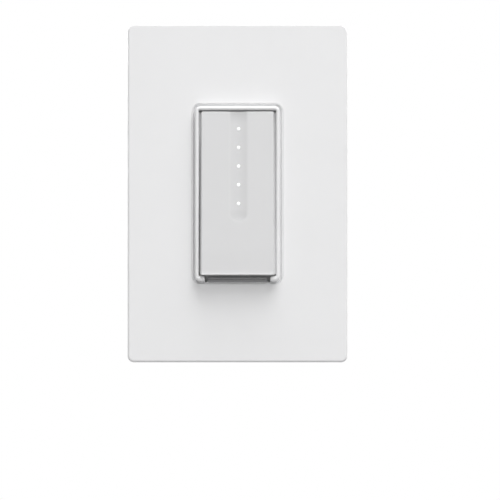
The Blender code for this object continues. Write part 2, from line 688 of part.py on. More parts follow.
def make_strap():
    thickness = (STRAP_FRONT, 0)
    strap = make_part("mounting_strap", "steel", box_shape(
        around(0, STRAP_WIDTH), thickness, around(0, STRAP_BODY), corner=STRAP_CORNER))
    ears = new_shape()
    add_block(ears, around(0, EAR_WIDTH), thickness, around(0, STRAP_LENGTH), corner=EAR_CORNER)
    join(strap, ears)
    tab = new_shape()
    top = ground_tab_top()
    add_block(tab, around(GROUND_TAB_X, GROUND_TAB_WIDTH), (STRAP_FRONT / 2, GROUND_TAB_REACH),
              (top - STRAP_THICKNESS, top))
    join(strap, tab)
    holes = new_shape()
    sheet = (STRAP_FRONT - EMBED, EMBED)
    for side_z in (-1, 1):
        add_block(holes, around(0, BOX_SLOT_WIDTH), sheet,
                  around(side_z * BOX_SCREW_SPACING / 2, BOX_SLOT_HEIGHT),
                  corner=BOX_SLOT_HEIGHT / 2.02)
        add_rod(holes, "Y", (0, 0, side_z * PLATE_SCREW_SPACING / 2), sheet,
                PLATE_SCREW_RADIUS + FIT)
        for side_x in (-1, 1):
            add_rod(holes, "Y", (side_x * EAR_WIDTH / 2, 0, side_z * BOX_SCREW_SPACING / 2),
                    sheet, EAR_NOTCH, sides=12)
            add_rod(holes, "Y", (side_x * HOUSING_SCREW_X, 0, side_z * HOUSING_SCREW_Z), sheet,
                    HOUSING_SCREW_RADIUS + FIT, sides=12)
            leg = sorted((side_x * (LEG_X - LEG_THICKNESS / 2 - FIT),
                          side_x * (LEG_X + LEG_THICKNESS / 2 + FIT)))
            add_block(holes, leg, sheet, around(side_z * LEG_Z, LEG_WIDTH + 2 * FIT))
    add_block(holes, around(0, HEADER_WIDTH + 2 * RUNNING_FIT), sheet,
              around(HEADER_Z, HEADER_HEIGHT + 2 * RUNNING_FIT))
    add_block(holes, around(0, STEM_WIDTH + 2 * RUNNING_FIT), sheet,
              around(STEM_Z, STEM_THICKNESS + 2 * RUNNING_FIT))
    add_rod(holes, "Z", (GROUND_TAB_X, GROUND_TAB_REACH - GROUND_TAB_WIDTH / 2, 0),
            (top - STRAP_THICKNESS - EMBED, top + EMBED), TERMINAL_SCREW_RADIUS + FIT)
    cut(strap, holes)


def make_mounting_screws():
    for word, side_z in (("top", 1), ("bottom", -1)):
        z = side_z * BOX_SCREW_SPACING / 2
        make_screw("box_screw_" + word, "steel", (0, FLANGE_BACK, z), (0, -1, 0),
                   BOX_HEAD_RADIUS, BOX_HEAD_HEIGHT, BOX_SCREW_RADIUS, BOX_SCREW_LENGTH)
        retainer = make_part("screw_retainer_" + word, "fibre", box_shape(
            around(0, RETAINER_SIZE), (FIT, FIT + RETAINER_THICKNESS), around(z, RETAINER_SIZE),
            corner=RETAINER_CORNER, steps=2))
        hole = new_shape()
        add_rod(hole, "Y", (0, 0, z), (0, 2 * FIT + RETAINER_THICKNESS), BOX_SCREW_RADIUS + FIT)
        cut(retainer, hole)
    make_screw("ground_screw", "green_screw",
               (GROUND_TAB_X, GROUND_TAB_REACH - GROUND_TAB_WIDTH / 2,
                ground_tab_top() - STRAP_THICKNESS - FIT),
               (0, 0, -1), TERMINAL_HEAD_RADIUS, TERMINAL_HEAD_HEIGHT, TERMINAL_SCREW_RADIUS,
               GROUND_SCREW_LENGTH)


def bezel_profile():
    """Section of the bezel: flange, hollow cove, round bead, inner step and back."""
    foot = PLATE_FRONT - SIDE_FOOT
    cove = []
    for step in range(COVE_STEPS + 1):
        angle = math.pi / 2 * step / COVE_STEPS
        cove.append(((BEAD_INSET - COVE_GAP) * math.sin(angle),
                     foot - COVE_RISE * (1 - math.cos(angle))))
    bead_base = BEZEL_FRONT + BEAD_RISE
    middle = BEAD_INSET + BEAD_WIDTH / 2
    bead = []
    for step in range(7):
        angle = math.pi * (1 - step / 6)
        bead.append((middle + BEAD_WIDTH / 2 * math.cos(angle),
                     bead_base - BEAD_RISE * math.sin(angle)))
    ledge = BEZEL_FRONT + LEDGE_DEPTH
    return [
        (-FLANGE_REACH, FLANGE_BACK),
        (-FLANGE_REACH, FLANGE_FRONT),
        (0, FLANGE_FRONT),
        *cove,
        *bead,
        (BEAD_END, ledge),
        (BEZEL_WALL, ledge),
        (BEZEL_WALL, FLANGE_BACK),
    ]


def make_bezel():
    bm = new_shape()
    add_frame(bm, BEZEL_WIDTH, BEZEL_HEIGHT, BEZEL_CORNER, bezel_profile(), steps=5)
    bezel = make_part("front_bezel", "white_plastic", bm)
    cut(bezel, box_shape(around(0, 2 * INNER_X), (BEZEL_FRONT - EMBED, FLANGE_BACK + EMBED),
                         around(0, 2 * (INNER_Z - EMBED))))
    legs = new_shape()
    hook_back = FIT + LEG_HOOK
    for side_x in (-1, 1):
        for side_z in (-1, 1):
            x = around(side_x * LEG_X, LEG_THICKNESS)
            z = around(side_z * LEG_Z, LEG_WIDTH)
            hook = sorted((side_x * LEG_X, side_x * (LEG_X + LEG_THICKNESS / 2 + LEG_BITE)))
            add_block(legs, x, (FLANGE_BACK - EMBED, hook_back), z)
            add_block(legs, hook, (FIT, hook_back), z)
    clip_z = HINGE_Z - TACT_BELOW_HINGE
    for side_x in (-1, 1):
        clip = sorted((side_x * (INNER_X - BOARD_CLIP_REACH), side_x * (INNER_X + EMBED)))
        add_block(legs, clip, (BOARD_FRONT - FIT - BOARD_CLIP_DEPTH, BOARD_FRONT - FIT),
                  around(clip_z, BOARD_CLIP_WIDTH))
    join(bezel, legs, crossing=True)
    chin = new_shape()
    add_block(chin, around(0, CHIN_WIDTH), (BEZEL_FRONT - EMBED, CHIN_FLOOR),
              (-BEZEL_HEIGHT / 2 - EMBED, -INNER_Z + EMBED))
    cut(bezel, chin)
    holes = new_shape()
    add_block(holes, around(0, STEM_WIDTH + 2 * RUNNING_FIT), (CHIN_FLOOR - EMBED, EMBED),
              around(STEM_Z, STEM_THICKNESS + 2 * RUNNING_FIT))
    stop_z = HINGE_Z + PADDLE_TOP - PADDLE_HEIGHT + STOP_ABOVE_END
    for side_x in (-1, 1):
        seat = sorted((side_x * (INNER_X - EMBED),
                       side_x * (PADDLE_BASE / 2 + TRUNNION_LENGTH + RUNNING_FIT)))
        add_rod(holes, "X", (0, HINGE_Y, HINGE_Z), seat, TRUNNION_RADIUS + RUNNING_FIT)
        pocket = sorted((side_x * (INNER_X - EMBED),
                         side_x * (PADDLE_BASE / 2 + STOP_THICKNESS + 2 * RUNNING_FIT)))
        travel = stop_front() - FIT, stop_front() + STOP_THICKNESS + stop_travel() + FIT
        add_block(holes, pocket, travel, around(stop_z, STOP_LENGTH + 4 * RUNNING_FIT))
    cut(bezel, holes)


def from_hinge(y, z):
    """World (y, z) of a point given from the hinge, with the paddle at rest."""
    tilt_cos = math.cos(PADDLE_TILT)
    tilt_sin = math.sin(PADDLE_TILT)
    return HINGE_Y + y * tilt_cos - z * tilt_sin, HINGE_Z + y * tilt_sin + z * tilt_cos


def stop_drop():
    return PADDLE_TOP - PADDLE_HEIGHT + STOP_ABOVE_END


def stop_front():
    return from_hinge(PADDLE_BACK - STOP_THICKNESS, stop_drop())[0] - FIT


def stop_travel():
    return -stop_drop() * PRESS_ANGLE + 2 * FIT


def dot_heights():
    """Heights of the dots below the hinge, from the top one down."""
    return [PADDLE_TOP - FIRST_DOT - DOT_SPACING * index for index in range(DOT_COUNT)]


def make_hinge():
    hinge = bpy.data.objects.new("paddle_hinge", None)
    hinge.location = (0, HINGE_Y, HINGE_Z)
    hinge.rotation_euler = (PADDLE_TILT, 0, 0)
    PARTS.objects.link(hinge)
    return hinge


def make_paddle(hinge):
    """The paddle, drawn from its hinge: y = 0 and z = 0 are the hinge's axis."""
    bottom = PADDLE_TOP - PADDLE_HEIGHT
    paddle = make_part("paddle", "soft_white_plastic", box_shape(
        around(0, PADDLE_WIDTH), (-HINGE_TO_FACE, PADDLE_BACK), (bottom, PADDLE_TOP),
        corner=PADDLE_CORNER, front=PADDLE_ROUND, steps=3), parent=hinge)
    inside = around(0, PADDLE_WIDTH - 2 * PADDLE_SKIRT)
    hollow = box_shape(inside, (FACE_BACK, PADDLE_BACK + EMBED),
                       (bottom + PADDLE_SKIRT, PADDLE_TOP - PADDLE_SKIRT))
    cut(paddle, hollow, parent=hinge)
    slopes = new_shape()
    face, base = PADDLE_WIDTH / 2, PADDLE_BASE / 2
    shoulder, foot = PADDLE_ROUND - HINGE_TO_FACE, DRAFT_DEPTH - HINGE_TO_FACE
    for side_x in (-1, 1):
        section = [(face - EMBED, shoulder), (face - PIN_FIT, shoulder), (base, foot),
                   (base, PADDLE_BACK), (face - EMBED, PADDLE_BACK)]
        add_prism(slopes, [(side_x * x, y) for x, y in section],
                  (bottom + PADDLE_CORNER, PADDLE_TOP - PADDLE_CORNER))
    join(paddle, slopes, parent=hinge)

    ribs = new_shape()
    groove_end = PADDLE_TOP - GROOVE_LENGTH
    support = (FACE_BACK - EMBED, BACKING_BACK)
    add_block(ribs, around(0, BACKING_WIDTH), support,
              (groove_end - BACKING_BEYOND, PADDLE_TOP - PADDLE_SKIRT + EMBED))
    for side_x in (-1, 1):
        rib = sorted((side_x * (TOUCH_WIDTH / 2 - RIB_OVERLAP), side_x * (inside[1] + EMBED)))
        add_block(ribs, rib, support, (groove_end, PADDLE_TOP - PADDLE_SKIRT - RIB_FROM_EDGE))
        add_rod(ribs, "Y", (side_x * SPRING_X, 0, -SPRING_BELOW_HINGE),
                (FACE_BACK - EMBED, FACE_BACK + SPRING_PEG_HEIGHT), SPRING_PEG_RADIUS, sides=12)
        side = sorted((side_x * (base - EMBED), side_x * (base + TRUNNION_LENGTH)))
        add_rod(ribs, "X", (0, 0, 0), side, TRUNNION_RADIUS)
        stop = sorted((side_x * (base - EMBED), side_x * (base + STOP_THICKNESS)))
        add_block(ribs, stop, (PADDLE_BACK - STOP_THICKNESS, PADDLE_BACK),
                  around(stop_drop(), STOP_LENGTH))
    for height in ((groove_end - TACT_BELOW_HINGE) / 2, bottom + RIB_FROM_EDGE):
        add_block(ribs, (inside[0] - EMBED, inside[1] + EMBED), support,
                  around(height, RIB_WIDTH))
    add_rod(ribs, "Y", (0, 0, -TACT_BELOW_HINGE), (FACE_BACK - EMBED, post_tip()),
            PLUNGER_RADIUS, sides=12)
    join(paddle, ribs, parent=hinge)

    cut_groove(paddle, hinge)
    holes = new_shape()
    for z in dot_heights():
        add_rod(holes, "Y", (DOT_OFFSET, 0, z), (-HINGE_TO_FACE, BACKING_BACK + EMBED),
                DOT_RADIUS + PIN_FIT)
    cut(paddle, holes, parent=hinge)


def post_tip():
    """Back end of the paddle's post, from the hinge, just in front of the plunger."""
    front = BOARD_FRONT - FIT - TACT_DEPTH - PLUNGER_PROUD - FIT
    lean = TACT_BELOW_HINGE * math.sin(PADDLE_TILT)
    return (front - HINGE_Y - lean) / math.cos(PADDLE_TILT)


def cut_groove(paddle, hinge):
    """A scoop with a round section and a blunt end, open at the paddle's top edge."""
    radius = (GROOVE_WIDTH ** 2 / 4 + GROOVE_DEPTH ** 2) / (2 * GROOVE_DEPTH)
    steps = 64
    rings = 10
    tool = cut(paddle, new_shape(), parent=hinge)
    tool.name = "groove_scoop"
    tool.location = (DOT_OFFSET, -HINGE_TO_FACE - radius + GROOVE_DEPTH,
                     PADDLE_TOP - GROOVE_LENGTH + GROOVE_WIDTH / 2 * GROOVE_END_SHARE)
    length = GROOVE_LENGTH
    reach = radius * GROOVE_END_SHARE
    end = [(radius * math.cos(angle), -reach * math.sin(angle)) for angle in
           (math.pi / 2 * ring / rings for ring in range(1, rings))]
    turn_profile(tool, [(0, length), (radius, length), (radius, 0), *end, (0, -reach)], steps)


def make_light_guide(hinge):
    """One clear bar behind the groove, with a pin through the paddle at each dot."""
    heights = dot_heights()
    margin = GUIDE_WIDTH / 2
    guide = make_part("light_guide", "clear_plastic", box_shape(
        around(DOT_OFFSET, GUIDE_WIDTH), (GUIDE_FRONT, GUIDE_FRONT + GUIDE_THICKNESS),
        (heights[-1] - margin, heights[0] + margin)), parent=hinge)
    pins = new_shape()
    for z in heights:
        add_rod(pins, "Y", (DOT_OFFSET, 0, z),
                (GROOVE_DEPTH - HINGE_TO_FACE + PIN_SUNK, GUIDE_FRONT + EMBED / 2), DOT_RADIUS)
    join(guide, pins, parent=hinge)


def make_touch_board(hinge):
    board = make_part("touch_board", "circuit_board", box_shape(
        around(0, TOUCH_WIDTH), (TOUCH_FRONT, TOUCH_BACK), (TOUCH_BOTTOM, TOUCH_TOP)),
        parent=hinge)
    holes = new_shape()
    for z in dot_heights():
        add_rod(holes, "Y", (DOT_OFFSET, 0, z), (TOUCH_FRONT - EMBED, TOUCH_BACK + EMBED),
                DOT_RADIUS + RUNNING_FIT, sides=12)
    cut(board, holes, parent=hinge)


def make_touch_ribbon():
    """A flat cable that turns once, from the control board up behind the touch board."""
    low = BOARD_FRONT - FIT - RIBBON_THICKNESS / 2
    middle = low - RIBBON_BEND
    bend_z = HINGE_Z - RIBBON_BELOW_HINGE
    path = [(low, bend_z - RIBBON_BACK_LEG)]
    for step in range(9):
        angle = math.pi * step / 8
        path.append((middle + RIBBON_BEND * math.cos(angle), bend_z + RIBBON_BEND * math.sin(angle)))
    path.append((middle - RIBBON_BEND, bend_z - RIBBON_FRONT_LEG))
    bm = new_shape()
    right = -TOUCH_WIDTH / 2 + RIBBON_EDGE + RIBBON_WIDTH
    rows = [[bm.verts.new((x, y, z)) for x in (right - RIBBON_WIDTH, right)] for y, z in path]
    for row, following in zip(rows, rows[1:]):
        bm.faces.new((row[0], row[1], following[1], following[0]))
    ribbon = make_part("touch_ribbon", "amber_film", bm)
    thick = ribbon.modifiers.new("thickness", "SOLIDIFY")
    thick.thickness = RIBBON_THICKNESS
    thick.offset = 0


def make_indicator_leds():
    back = BOARD_FRONT - FIT
    for index, below in enumerate(dot_heights(), start=1):
        z = from_hinge(GROOVE_DEPTH - HINGE_TO_FACE, below)[1]
        make_part("indicator_led_%d" % index, "light", box_shape(
            around(DOT_OFFSET, LED_WIDTH), (back - LED_THICKNESS, back), around(z, LED_HEIGHT),
            corner=SMALL_CORNER / 2, steps=1))


def make_control_board():
    width = around(0, 2 * (INNER_X - 2 * FIT))
    height = around(0, 2 * (INNER_Z - RUNNING_FIT))
    board = make_part("control_board", "circuit_board",
                      box_shape(width, (BOARD_FRONT, BOARD_BACK), height,
                                corner=SMALL_CORNER, steps=2))
    sheet = make_part("insulating_sheet", "fibre",
                      box_shape(width, (SHEET_FRONT, STRAP_FRONT - FIT), height))
    window = new_shape()
    add_block(window, around(0, HEADER_WIDTH + 2 * RUNNING_FIT), (SHEET_FRONT - EMBED, STRAP_FRONT),
              around(HEADER_Z, HEADER_HEIGHT + 2 * RUNNING_FIT))
    cut(sheet, window)
    return board


def make_tact_switch():
    z = HINGE_Z - TACT_BELOW_HINGE
    back = BOARD_FRONT - FIT
    front = back - TACT_DEPTH
    body = make_part("tact_switch_body", "black_plastic", box_shape(
        around(0, TACT_SIZE), (front, back), around(z, TACT_SIZE), corner=SMALL_CORNER, steps=2))
    plunger_front = front - PLUNGER_PROUD
    plunger_back = plunger_front + PLUNGER_LENGTH
    travel = TACT_BELOW_HINGE * PRESS_ANGLE
    bore = new_shape()
    add_rod(bore, "Y", (0, 0, z), (front - EMBED, plunger_back + travel + PIN_FIT * 2),
            PLUNGER_RADIUS + FIT)
    cut(body, bore)
    plunger = new_shape()
    add_rod(plunger, "Y", (0, 0, z), (plunger_front, plunger_back), PLUNGER_RADIUS, sides=20)
    make_part("tact_switch_plunger", "yellow_plastic", plunger, origin=(0, plunger_front, z))


def make_return_springs():
    """Coil springs between the control board and the paddle, their end turns flat."""
    y_paddle, z = from_hinge(FACE_BACK, -SPRING_BELOW_HINGE)
    start = BOARD_FRONT - FIT - SPRING_WIRE / 2
    lean = SPRING_RADIUS * math.sin(-PADDLE_TILT)
    end = y_paddle + FIT + lean + SPRING_WIRE / 2
    flat = 0.4
    per_turn = 10
    pitch = (end - start) / (SPRING_TURNS - 2 * flat)
    for word, side_x in (("left", -1), ("right", 1)):
        curve = bpy.data.curves.new("return_spring_" + word, "CURVE")
        curve.dimensions = "3D"
        curve.bevel_depth = SPRING_WIRE / 2
        curve.bevel_resolution = 2
        curve.use_fill_caps = True
        spline = curve.splines.new("POLY")
        count = SPRING_TURNS * per_turn + 1
        spline.points.add(count - 1)
        for index, point in enumerate(spline.points):
            turns = index / per_turn
            angle = 2 * math.pi * turns
            climb = min(max(turns - flat, 0), SPRING_TURNS - 2 * flat)
            point.co = (SPRING_RADIUS * math.cos(angle), pitch * climb,
                        SPRING_RADIUS * math.sin(angle), 1.0)
        spring = bpy.data.objects.new("return_spring_" + word, curve)
        spring.location = (side_x * SPRING_X, start, z)
        PARTS.objects.link(spring)
        give_finish(spring, "spring_steel")


def make_radio_module():
    back = BOARD_FRONT - FIT
    left = -PADDLE_WIDTH / 2 + PADDLE_SKIRT + RUNNING_FIT
    bottom = HINGE_Z - TACT_BELOW_HINGE + TACT_SIZE / 2 + RADIO_ABOVE_TACT
    top = bottom + RADIO_HEIGHT
    module = make_part("radio_module", "circuit_board", box_shape(
        (left, left + RADIO_WIDTH), (back - RADIO_DEPTH / 3, back), (bottom, top)))
    shield = new_shape()
    add_block(shield, (left + RADIO_RIM, left + RADIO_WIDTH - RADIO_RIM),
              (back - RADIO_DEPTH, back - RADIO_DEPTH / 3 + EMBED / 2),
              (bottom + RADIO_RIM, top - RADIO_HEIGHT / 3), corner=SMALL_CORNER, steps=1)
    join(module, shield)


def make_air_gap():
    """The pull tab under the paddle, its stem, and the contacts that it works."""
    tab_back = CHIN_FLOOR - FIT
    tab_front = tab_back - TAB_DEPTH
    bottom = -BEZEL_HEIGHT / 2 + PIN_FIT / 2
    origin = (0, tab_front, STEM_Z)
    tab = make_part("air_gap_tab", "tab_plastic", box_shape(
        around(0, TAB_WIDTH), (tab_front, tab_back), (bottom, bottom + TAB_HEIGHT),
        corner=TAB_CORNER, axis="X", steps=2), origin=origin)
    step = new_shape()
    add_block(step, around(0, TAB_WIDTH + 2 * EMBED), (tab_front - EMBED, tab_front + TAB_STEP),
              (bottom + TAB_HEIGHT - TAB_STEP_HEIGHT, bottom + TAB_HEIGHT + EMBED))
    cut(tab, step)
    stem = new_shape()
    add_block(stem, around(0, STEM_WIDTH), (tab_back - EMBED, STEM_REACH),
              around(STEM_Z, STEM_THICKNESS))
    join(tab, stem)

    leaf_y = STEM_REACH + FIT
    riser_z = STEM_Z + RISER_ABOVE_STEM
    leaf = make_part("air_gap_leaf", "brass", box_shape(
        around(0, LEAF_WIDTH), (leaf_y, leaf_y + LEAF_THICKNESS),
        (STEM_Z - STEM_THICKNESS / 2, riser_z + LEAF_THICKNESS)))
    riser = new_shape()
    add_block(riser, around(0, LEAF_WIDTH), (leaf_y, PARTS_FRONT),
              (riser_z, riser_z + LEAF_THICKNESS))
    join(leaf, riser)

    head = leaf_y + LEAF_THICKNESS + FIT
    contact = make_object("air_gap_contact", new_shape(), PARTS, (0, head, STEM_Z))
    give_finish(contact, "copper")
    contact.rotation_euler = (math.pi / 2, 0, 0)
    turn_profile(contact, [(0, 0), (CONTACT_RADIUS - CONTACT_DOME, 0),
                           (CONTACT_RADIUS, -CONTACT_DOME), (CONTACT_RADIUS, -CONTACT_HEAD),
                           (CONTACT_POST, -CONTACT_HEAD - PIN_FIT),
                           (CONTACT_POST, head - PARTS_FRONT), (0, head - PARTS_FRONT)], 12)


def housing_corners():
    return [(side_x * HOUSING_SCREW_X, side_z * HOUSING_SCREW_Z)
            for side_x in (-1, 1) for side_z in (-1, 1)]


def terminal_places():
    return [(side_x, side_z) for side_z in (1, -1) for side_x in (-1, 1)]


def make_rear_housing():
    housing = make_part("rear_housing", "grey_plastic", box_shape(
        around(0, HOUSING_WIDTH), (HOUSING_FRONT, HOUSING_BACK), around(0, HOUSING_HEIGHT),
        corner=HOUSING_CORNER, back=HOUSING_CHAMFER, steps=2))
    inner_back = HOUSING_BACK - HOUSING_WALL
    inner_x = HOUSING_INNER_X
    hollow = new_shape()
    add_block(hollow, (-inner_x, inner_x), (HOUSING_FRONT - EMBED, inner_back),
              around(0, HOUSING_HEIGHT - 2 * HOUSING_WALL))
    cut(housing, hollow)

    inside = new_shape()
    for x, z in housing_corners():
        add_rod(inside, "Y", (x, 0, z), (HOUSING_FRONT, inner_back + EMBED), HOUSING_BOSS)
    for side_x, side_z in terminal_places():
        z = side_z * TERMINAL_Z
        wall = sorted((side_x * (POCKET_FLOOR - POCKET_WALL), side_x * (inner_x + EMBED)))
        add_block(inside, wall, around(TERMINAL_Y, POCKET_HEIGHT + 2 * POCKET_WALL),
                  around(z, POCKET_WIDTH + 2 * POCKET_WALL))
    for side_x in (-1, 1):
        ledge = sorted((side_x * (inner_x - LEDGE_BLOCK_REACH), side_x * (inner_x + EMBED)))
        add_block(inside, ledge, (PARTS_BACK, inner_back + EMBED), around(0, LEDGE_BLOCK_WIDTH))
    join(housing, inside)

    bosses = new_shape()
    boss_end = POCKET_FLOOR - POCKET_WALL - TERMINAL_SCREW_LENGTH + TERMINAL_BOSS_COVER
    for side_x, side_z in terminal_places():
        reach = sorted((side_x * boss_end, side_x * (POCKET_FLOOR - EMBED)))
        add_rod(bosses, "X", (0, TERMINAL_Y, side_z * TERMINAL_Z), reach, TERMINAL_BOSS)
    join(housing, bosses)

    cuts = new_shape()
    for x, z in housing_corners():
        add_rod(cuts, "Y", (x, 0, z), (HOUSING_BACK - WELL_DEPTH, HOUSING_BACK + EMBED),
                HOUSING_HEAD_RADIUS + FIT)
    for side_x, side_z in terminal_places():
        pocket = sorted((side_x * POCKET_FLOOR, side_x * (HOUSING_WIDTH / 2 + EMBED)))
        add_block(cuts, pocket, around(TERMINAL_Y, POCKET_HEIGHT),
                  around(side_z * TERMINAL_Z, POCKET_WIDTH))
    add_block(cuts, around(0, HOUSING_WIDTH - 2 * LABEL_SIDE),
              (HOUSING_BACK - LABEL_DEPTH, HOUSING_BACK + EMBED),
              around(0, HOUSING_HEIGHT - 2 * LABEL_END), corner=HOUSING_CORNER, steps=2)
    add_block(cuts, around(0, GAUGE_LENGTH), (HOUSING_BACK - GAUGE_DEPTH, HOUSING_BACK + EMBED),
              around(GAUGE_FROM_END - HOUSING_HEIGHT / 2, GAUGE_WIDTH))
    cut(housing, cuts)

    bores = new_shape()
    for x, z in housing_corners():
        add_rod(bores, "Y", (x, 0, z), (HOUSING_FRONT - EMBED, HOUSING_BACK - WELL_DEPTH + EMBED),
                HOUSING_SCREW_RADIUS + FIT, sides=12)
    for side_x, side_z in terminal_places():
        z = side_z * TERMINAL_Z
        seat = POCKET_FLOOR + FIT + CLAMP_THICKNESS + FIT
        bore = sorted((side_x * (seat - TERMINAL_SCREW_LENGTH - FIT), side_x * (POCKET_FLOOR + EMBED)))
        add_rod(bores, "X", (0, TERMINAL_Y, z), bore, TERMINAL_SCREW_RADIUS + RUNNING_FIT)
        slot = sorted((side_x * (POCKET_FLOOR - POCKET_WALL - EMBED), side_x * (POCKET_FLOOR + EMBED)))
        arm_y = clamp_arm()
        add_block(bores, slot, (arm_y[0] - FIT, arm_y[1] + FIT),
                  around(z, CLAMP_ARM_WIDTH + 2 * FIT))
    cut(housing, bores)


def make_housing_screws():
    for index, (x, z) in enumerate(housing_corners(), start=1):
        seat = HOUSING_BACK - WELL_DEPTH + FIT
        make_screw("housing_screw_%d" % index, "steel", (x, seat, z), (0, 1, 0),
                   HOUSING_HEAD_RADIUS, HOUSING_HEAD_HEIGHT, HOUSING_SCREW_RADIUS,
                   seat - STRAP_FRONT - FIT)


def clamp_arm():
    """Depth of the clamp's arm, which runs inwards just behind the screw's boss."""
    back = TERMINAL_Y + POCKET_HEIGHT / 2 - CLAMP_MARGIN
    return (back - CLAMP_THICKNESS, back)


def make_terminals():
    arm_y = clamp_arm()
    for index, (side_x, side_z) in enumerate(terminal_places(), start=1):
        z = side_z * TERMINAL_Z
        plate = sorted((side_x * (POCKET_FLOOR + FIT),
                        side_x * (POCKET_FLOOR + FIT + CLAMP_THICKNESS)))
        clamp = make_part("terminal_clamp_%d" % index, "brass", box_shape(
            plate, (TERMINAL_Y - POCKET_HEIGHT / 2 + CLAMP_MARGIN, arm_y[1]),
            around(z, POCKET_WIDTH - 2 * CLAMP_MARGIN)))
        tail_x = POCKET_FLOOR - POCKET_WALL - CLAMP_TAIL_INSIDE
        arm = new_shape()
        add_block(arm, sorted((side_x * tail_x, side_x * (POCKET_FLOOR + FIT + EMBED))), arm_y,
                  around(z, CLAMP_ARM_WIDTH))
        join(clamp, arm)
        tail = new_shape()
        add_block(tail, sorted((side_x * tail_x, side_x * (tail_x + CLAMP_THICKNESS))),
                  (arm_y[0], PARTS_FRONT), around(z, CLAMP_TAIL_WIDTH))
        join(clamp, tail)
        hole = new_shape()
        add_rod(hole, "X", (0, TERMINAL_Y, z),
                sorted((side_x * (POCKET_FLOOR - EMBED), side_x * HOUSING_WIDTH / 2)),
                TERMINAL_SCREW_RADIUS + FIT)
        cut(clamp, hole)
        seat = POCKET_FLOOR + FIT + CLAMP_THICKNESS + FIT
        make_screw("terminal_screw_%d" % index, "brass" if side_x > 0 else "steel",
                   (side_x * seat, TERMINAL_Y, z), (side_x, 0, 0), TERMINAL_HEAD_RADIUS,
                   TERMINAL_HEAD_HEIGHT, TERMINAL_SCREW_RADIUS, TERMINAL_SCREW_LENGTH)


def make_power_board():
    half_x = HOUSING_WIDTH / 2 - HOUSING_WALL - BOARD_EDGE_GAP
    half_z = HOUSING_HEIGHT / 2 - HOUSING_WALL - BOARD_EDGE_GAP
    depth = (POWER_BOARD_Y, POWER_BOARD_BACK)
    board = make_part("power_board", "circuit_board",
                      box_shape((-half_x, half_x), depth, (-half_z, half_z)))
    corners = new_shape()
    clear = HOUSING_BOSS + RUNNING_FIT
    for x, z in housing_corners():
        side_x = math.copysign(1, x)
        side_z = math.copysign(1, z)
        add_block(corners, sorted((x - side_x * clear, side_x * (half_x + EMBED))),
                  (depth[0] - EMBED, depth[1] + EMBED),
                  sorted((z - side_z * clear, side_z * (half_z + EMBED))))
    cut(board, corners)


def make_board_header():
    """A pin header that carries the control board's lines through the strap."""
    header = make_part("board_header", "black_plastic", box_shape(
        around(0, HEADER_WIDTH), (PARTS_FRONT - HEADER_DEPTH, PARTS_FRONT),
        around(HEADER_Z, HEADER_HEIGHT), corner=HEADER_CORNER, steps=1))
    pins = new_shape()
    for index in range(HEADER_PINS):
        x = (index - (HEADER_PINS - 1) / 2) * HEADER_PITCH
        add_block(pins, around(x, PIN_SIZE), (BOARD_BACK + FIT, PARTS_FRONT - HEADER_DEPTH + EMBED),
                  around(HEADER_Z, PIN_SIZE))
    join(header, pins)


def make_mosfets():
    pad_front = FIT
    pad_back = pad_front + PAD_THICKNESS
    top = MOSFET_BOTTOM + MOSFET_BODY + MOSFET_TAB
    pad_x = MOSFET_X + MOSFET_WIDTH / 2 + PAD_SIDE
    make_part("insulating_pad", "fibre", box_shape(
        (-pad_x, pad_x), (pad_front, pad_back), (MOSFET_BOTTOM - PAD_END, top + PAD_END)))
    body_front = pad_back + FIT
    lead_y = body_front + MOSFET_DEPTH * 0.5
    for index, side_x in enumerate((-1, 1), start=1):
        x = side_x * MOSFET_X
        body = make_part("dimming_mosfet_%d" % index, "black_plastic", box_shape(
            around(x, MOSFET_WIDTH), (body_front, body_front + MOSFET_DEPTH),
            (MOSFET_BOTTOM, MOSFET_BOTTOM + MOSFET_BODY), back=MOSFET_EDGE, steps=1))
        metal = new_shape()
        add_block(metal, around(x, MOSFET_WIDTH), (body_front, body_front + MOSFET_TAB_THICKNESS),
                  (MOSFET_BOTTOM + MOSFET_BODY / 2, top))
        join(body, metal)
        leads = new_shape()
        for place in (-1, 0, 1):
            lead = around(x + place * LEAD_PITCH, LEAD_WIDTH)
            add_block(leads, lead, (lead_y, lead_y + LEAD_THICKNESS),
                      (MOSFET_BOTTOM - LEAD_DROP, MOSFET_BOTTOM + EMBED))
        join(body, leads)
        bends = new_shape()
        for place in (-1, 0, 1):
            lead = around(x + place * LEAD_PITCH, LEAD_WIDTH)
            add_block(bends, lead, (lead_y, PARTS_FRONT),
                      (MOSFET_BOTTOM - LEAD_DROP, MOSFET_BOTTOM - LEAD_DROP + LEAD_THICKNESS))
        join(body, bends)
        hole = new_shape()
        add_rod(hole, "Y", (x, 0, top - MOSFET_TAB / 2),
                (body_front - EMBED, body_front + MOSFET_TAB_THICKNESS + EMBED), MOSFET_HOLE)
        cut(body, hole)


def make_choke():
    """A wound ring lying flat on the back of the power board."""
    bm = new_shape()
    around_ring = 24
    around_section = 10
    middle_y = PARTS_BACK + CHOKE_SECTION
    loops = []
    for turn in range(around_ring):
        angle = 2 * math.pi * turn / around_ring
        loop = []
        for step in range(around_section):
            section = 2 * math.pi * (step + 0.5) / around_section
            reach = CHOKE_RADIUS + CHOKE_SECTION * math.cos(section)
            loop.append(bm.verts.new((
                CHOKE_X + reach * math.cos(angle),
                middle_y + CHOKE_SECTION * math.sin(section),
                CHOKE_Z + reach * math.sin(angle))))
        loops.append(loop)
    for loop, following in zip(loops, loops[1:] + loops[:1]):
        for index in range(around_section):
            after = (index + 1) % around_section
            bm.faces.new((loop[index], loop[after], following[after], following[index]))
    make_part("filter_choke", "copper", bm)


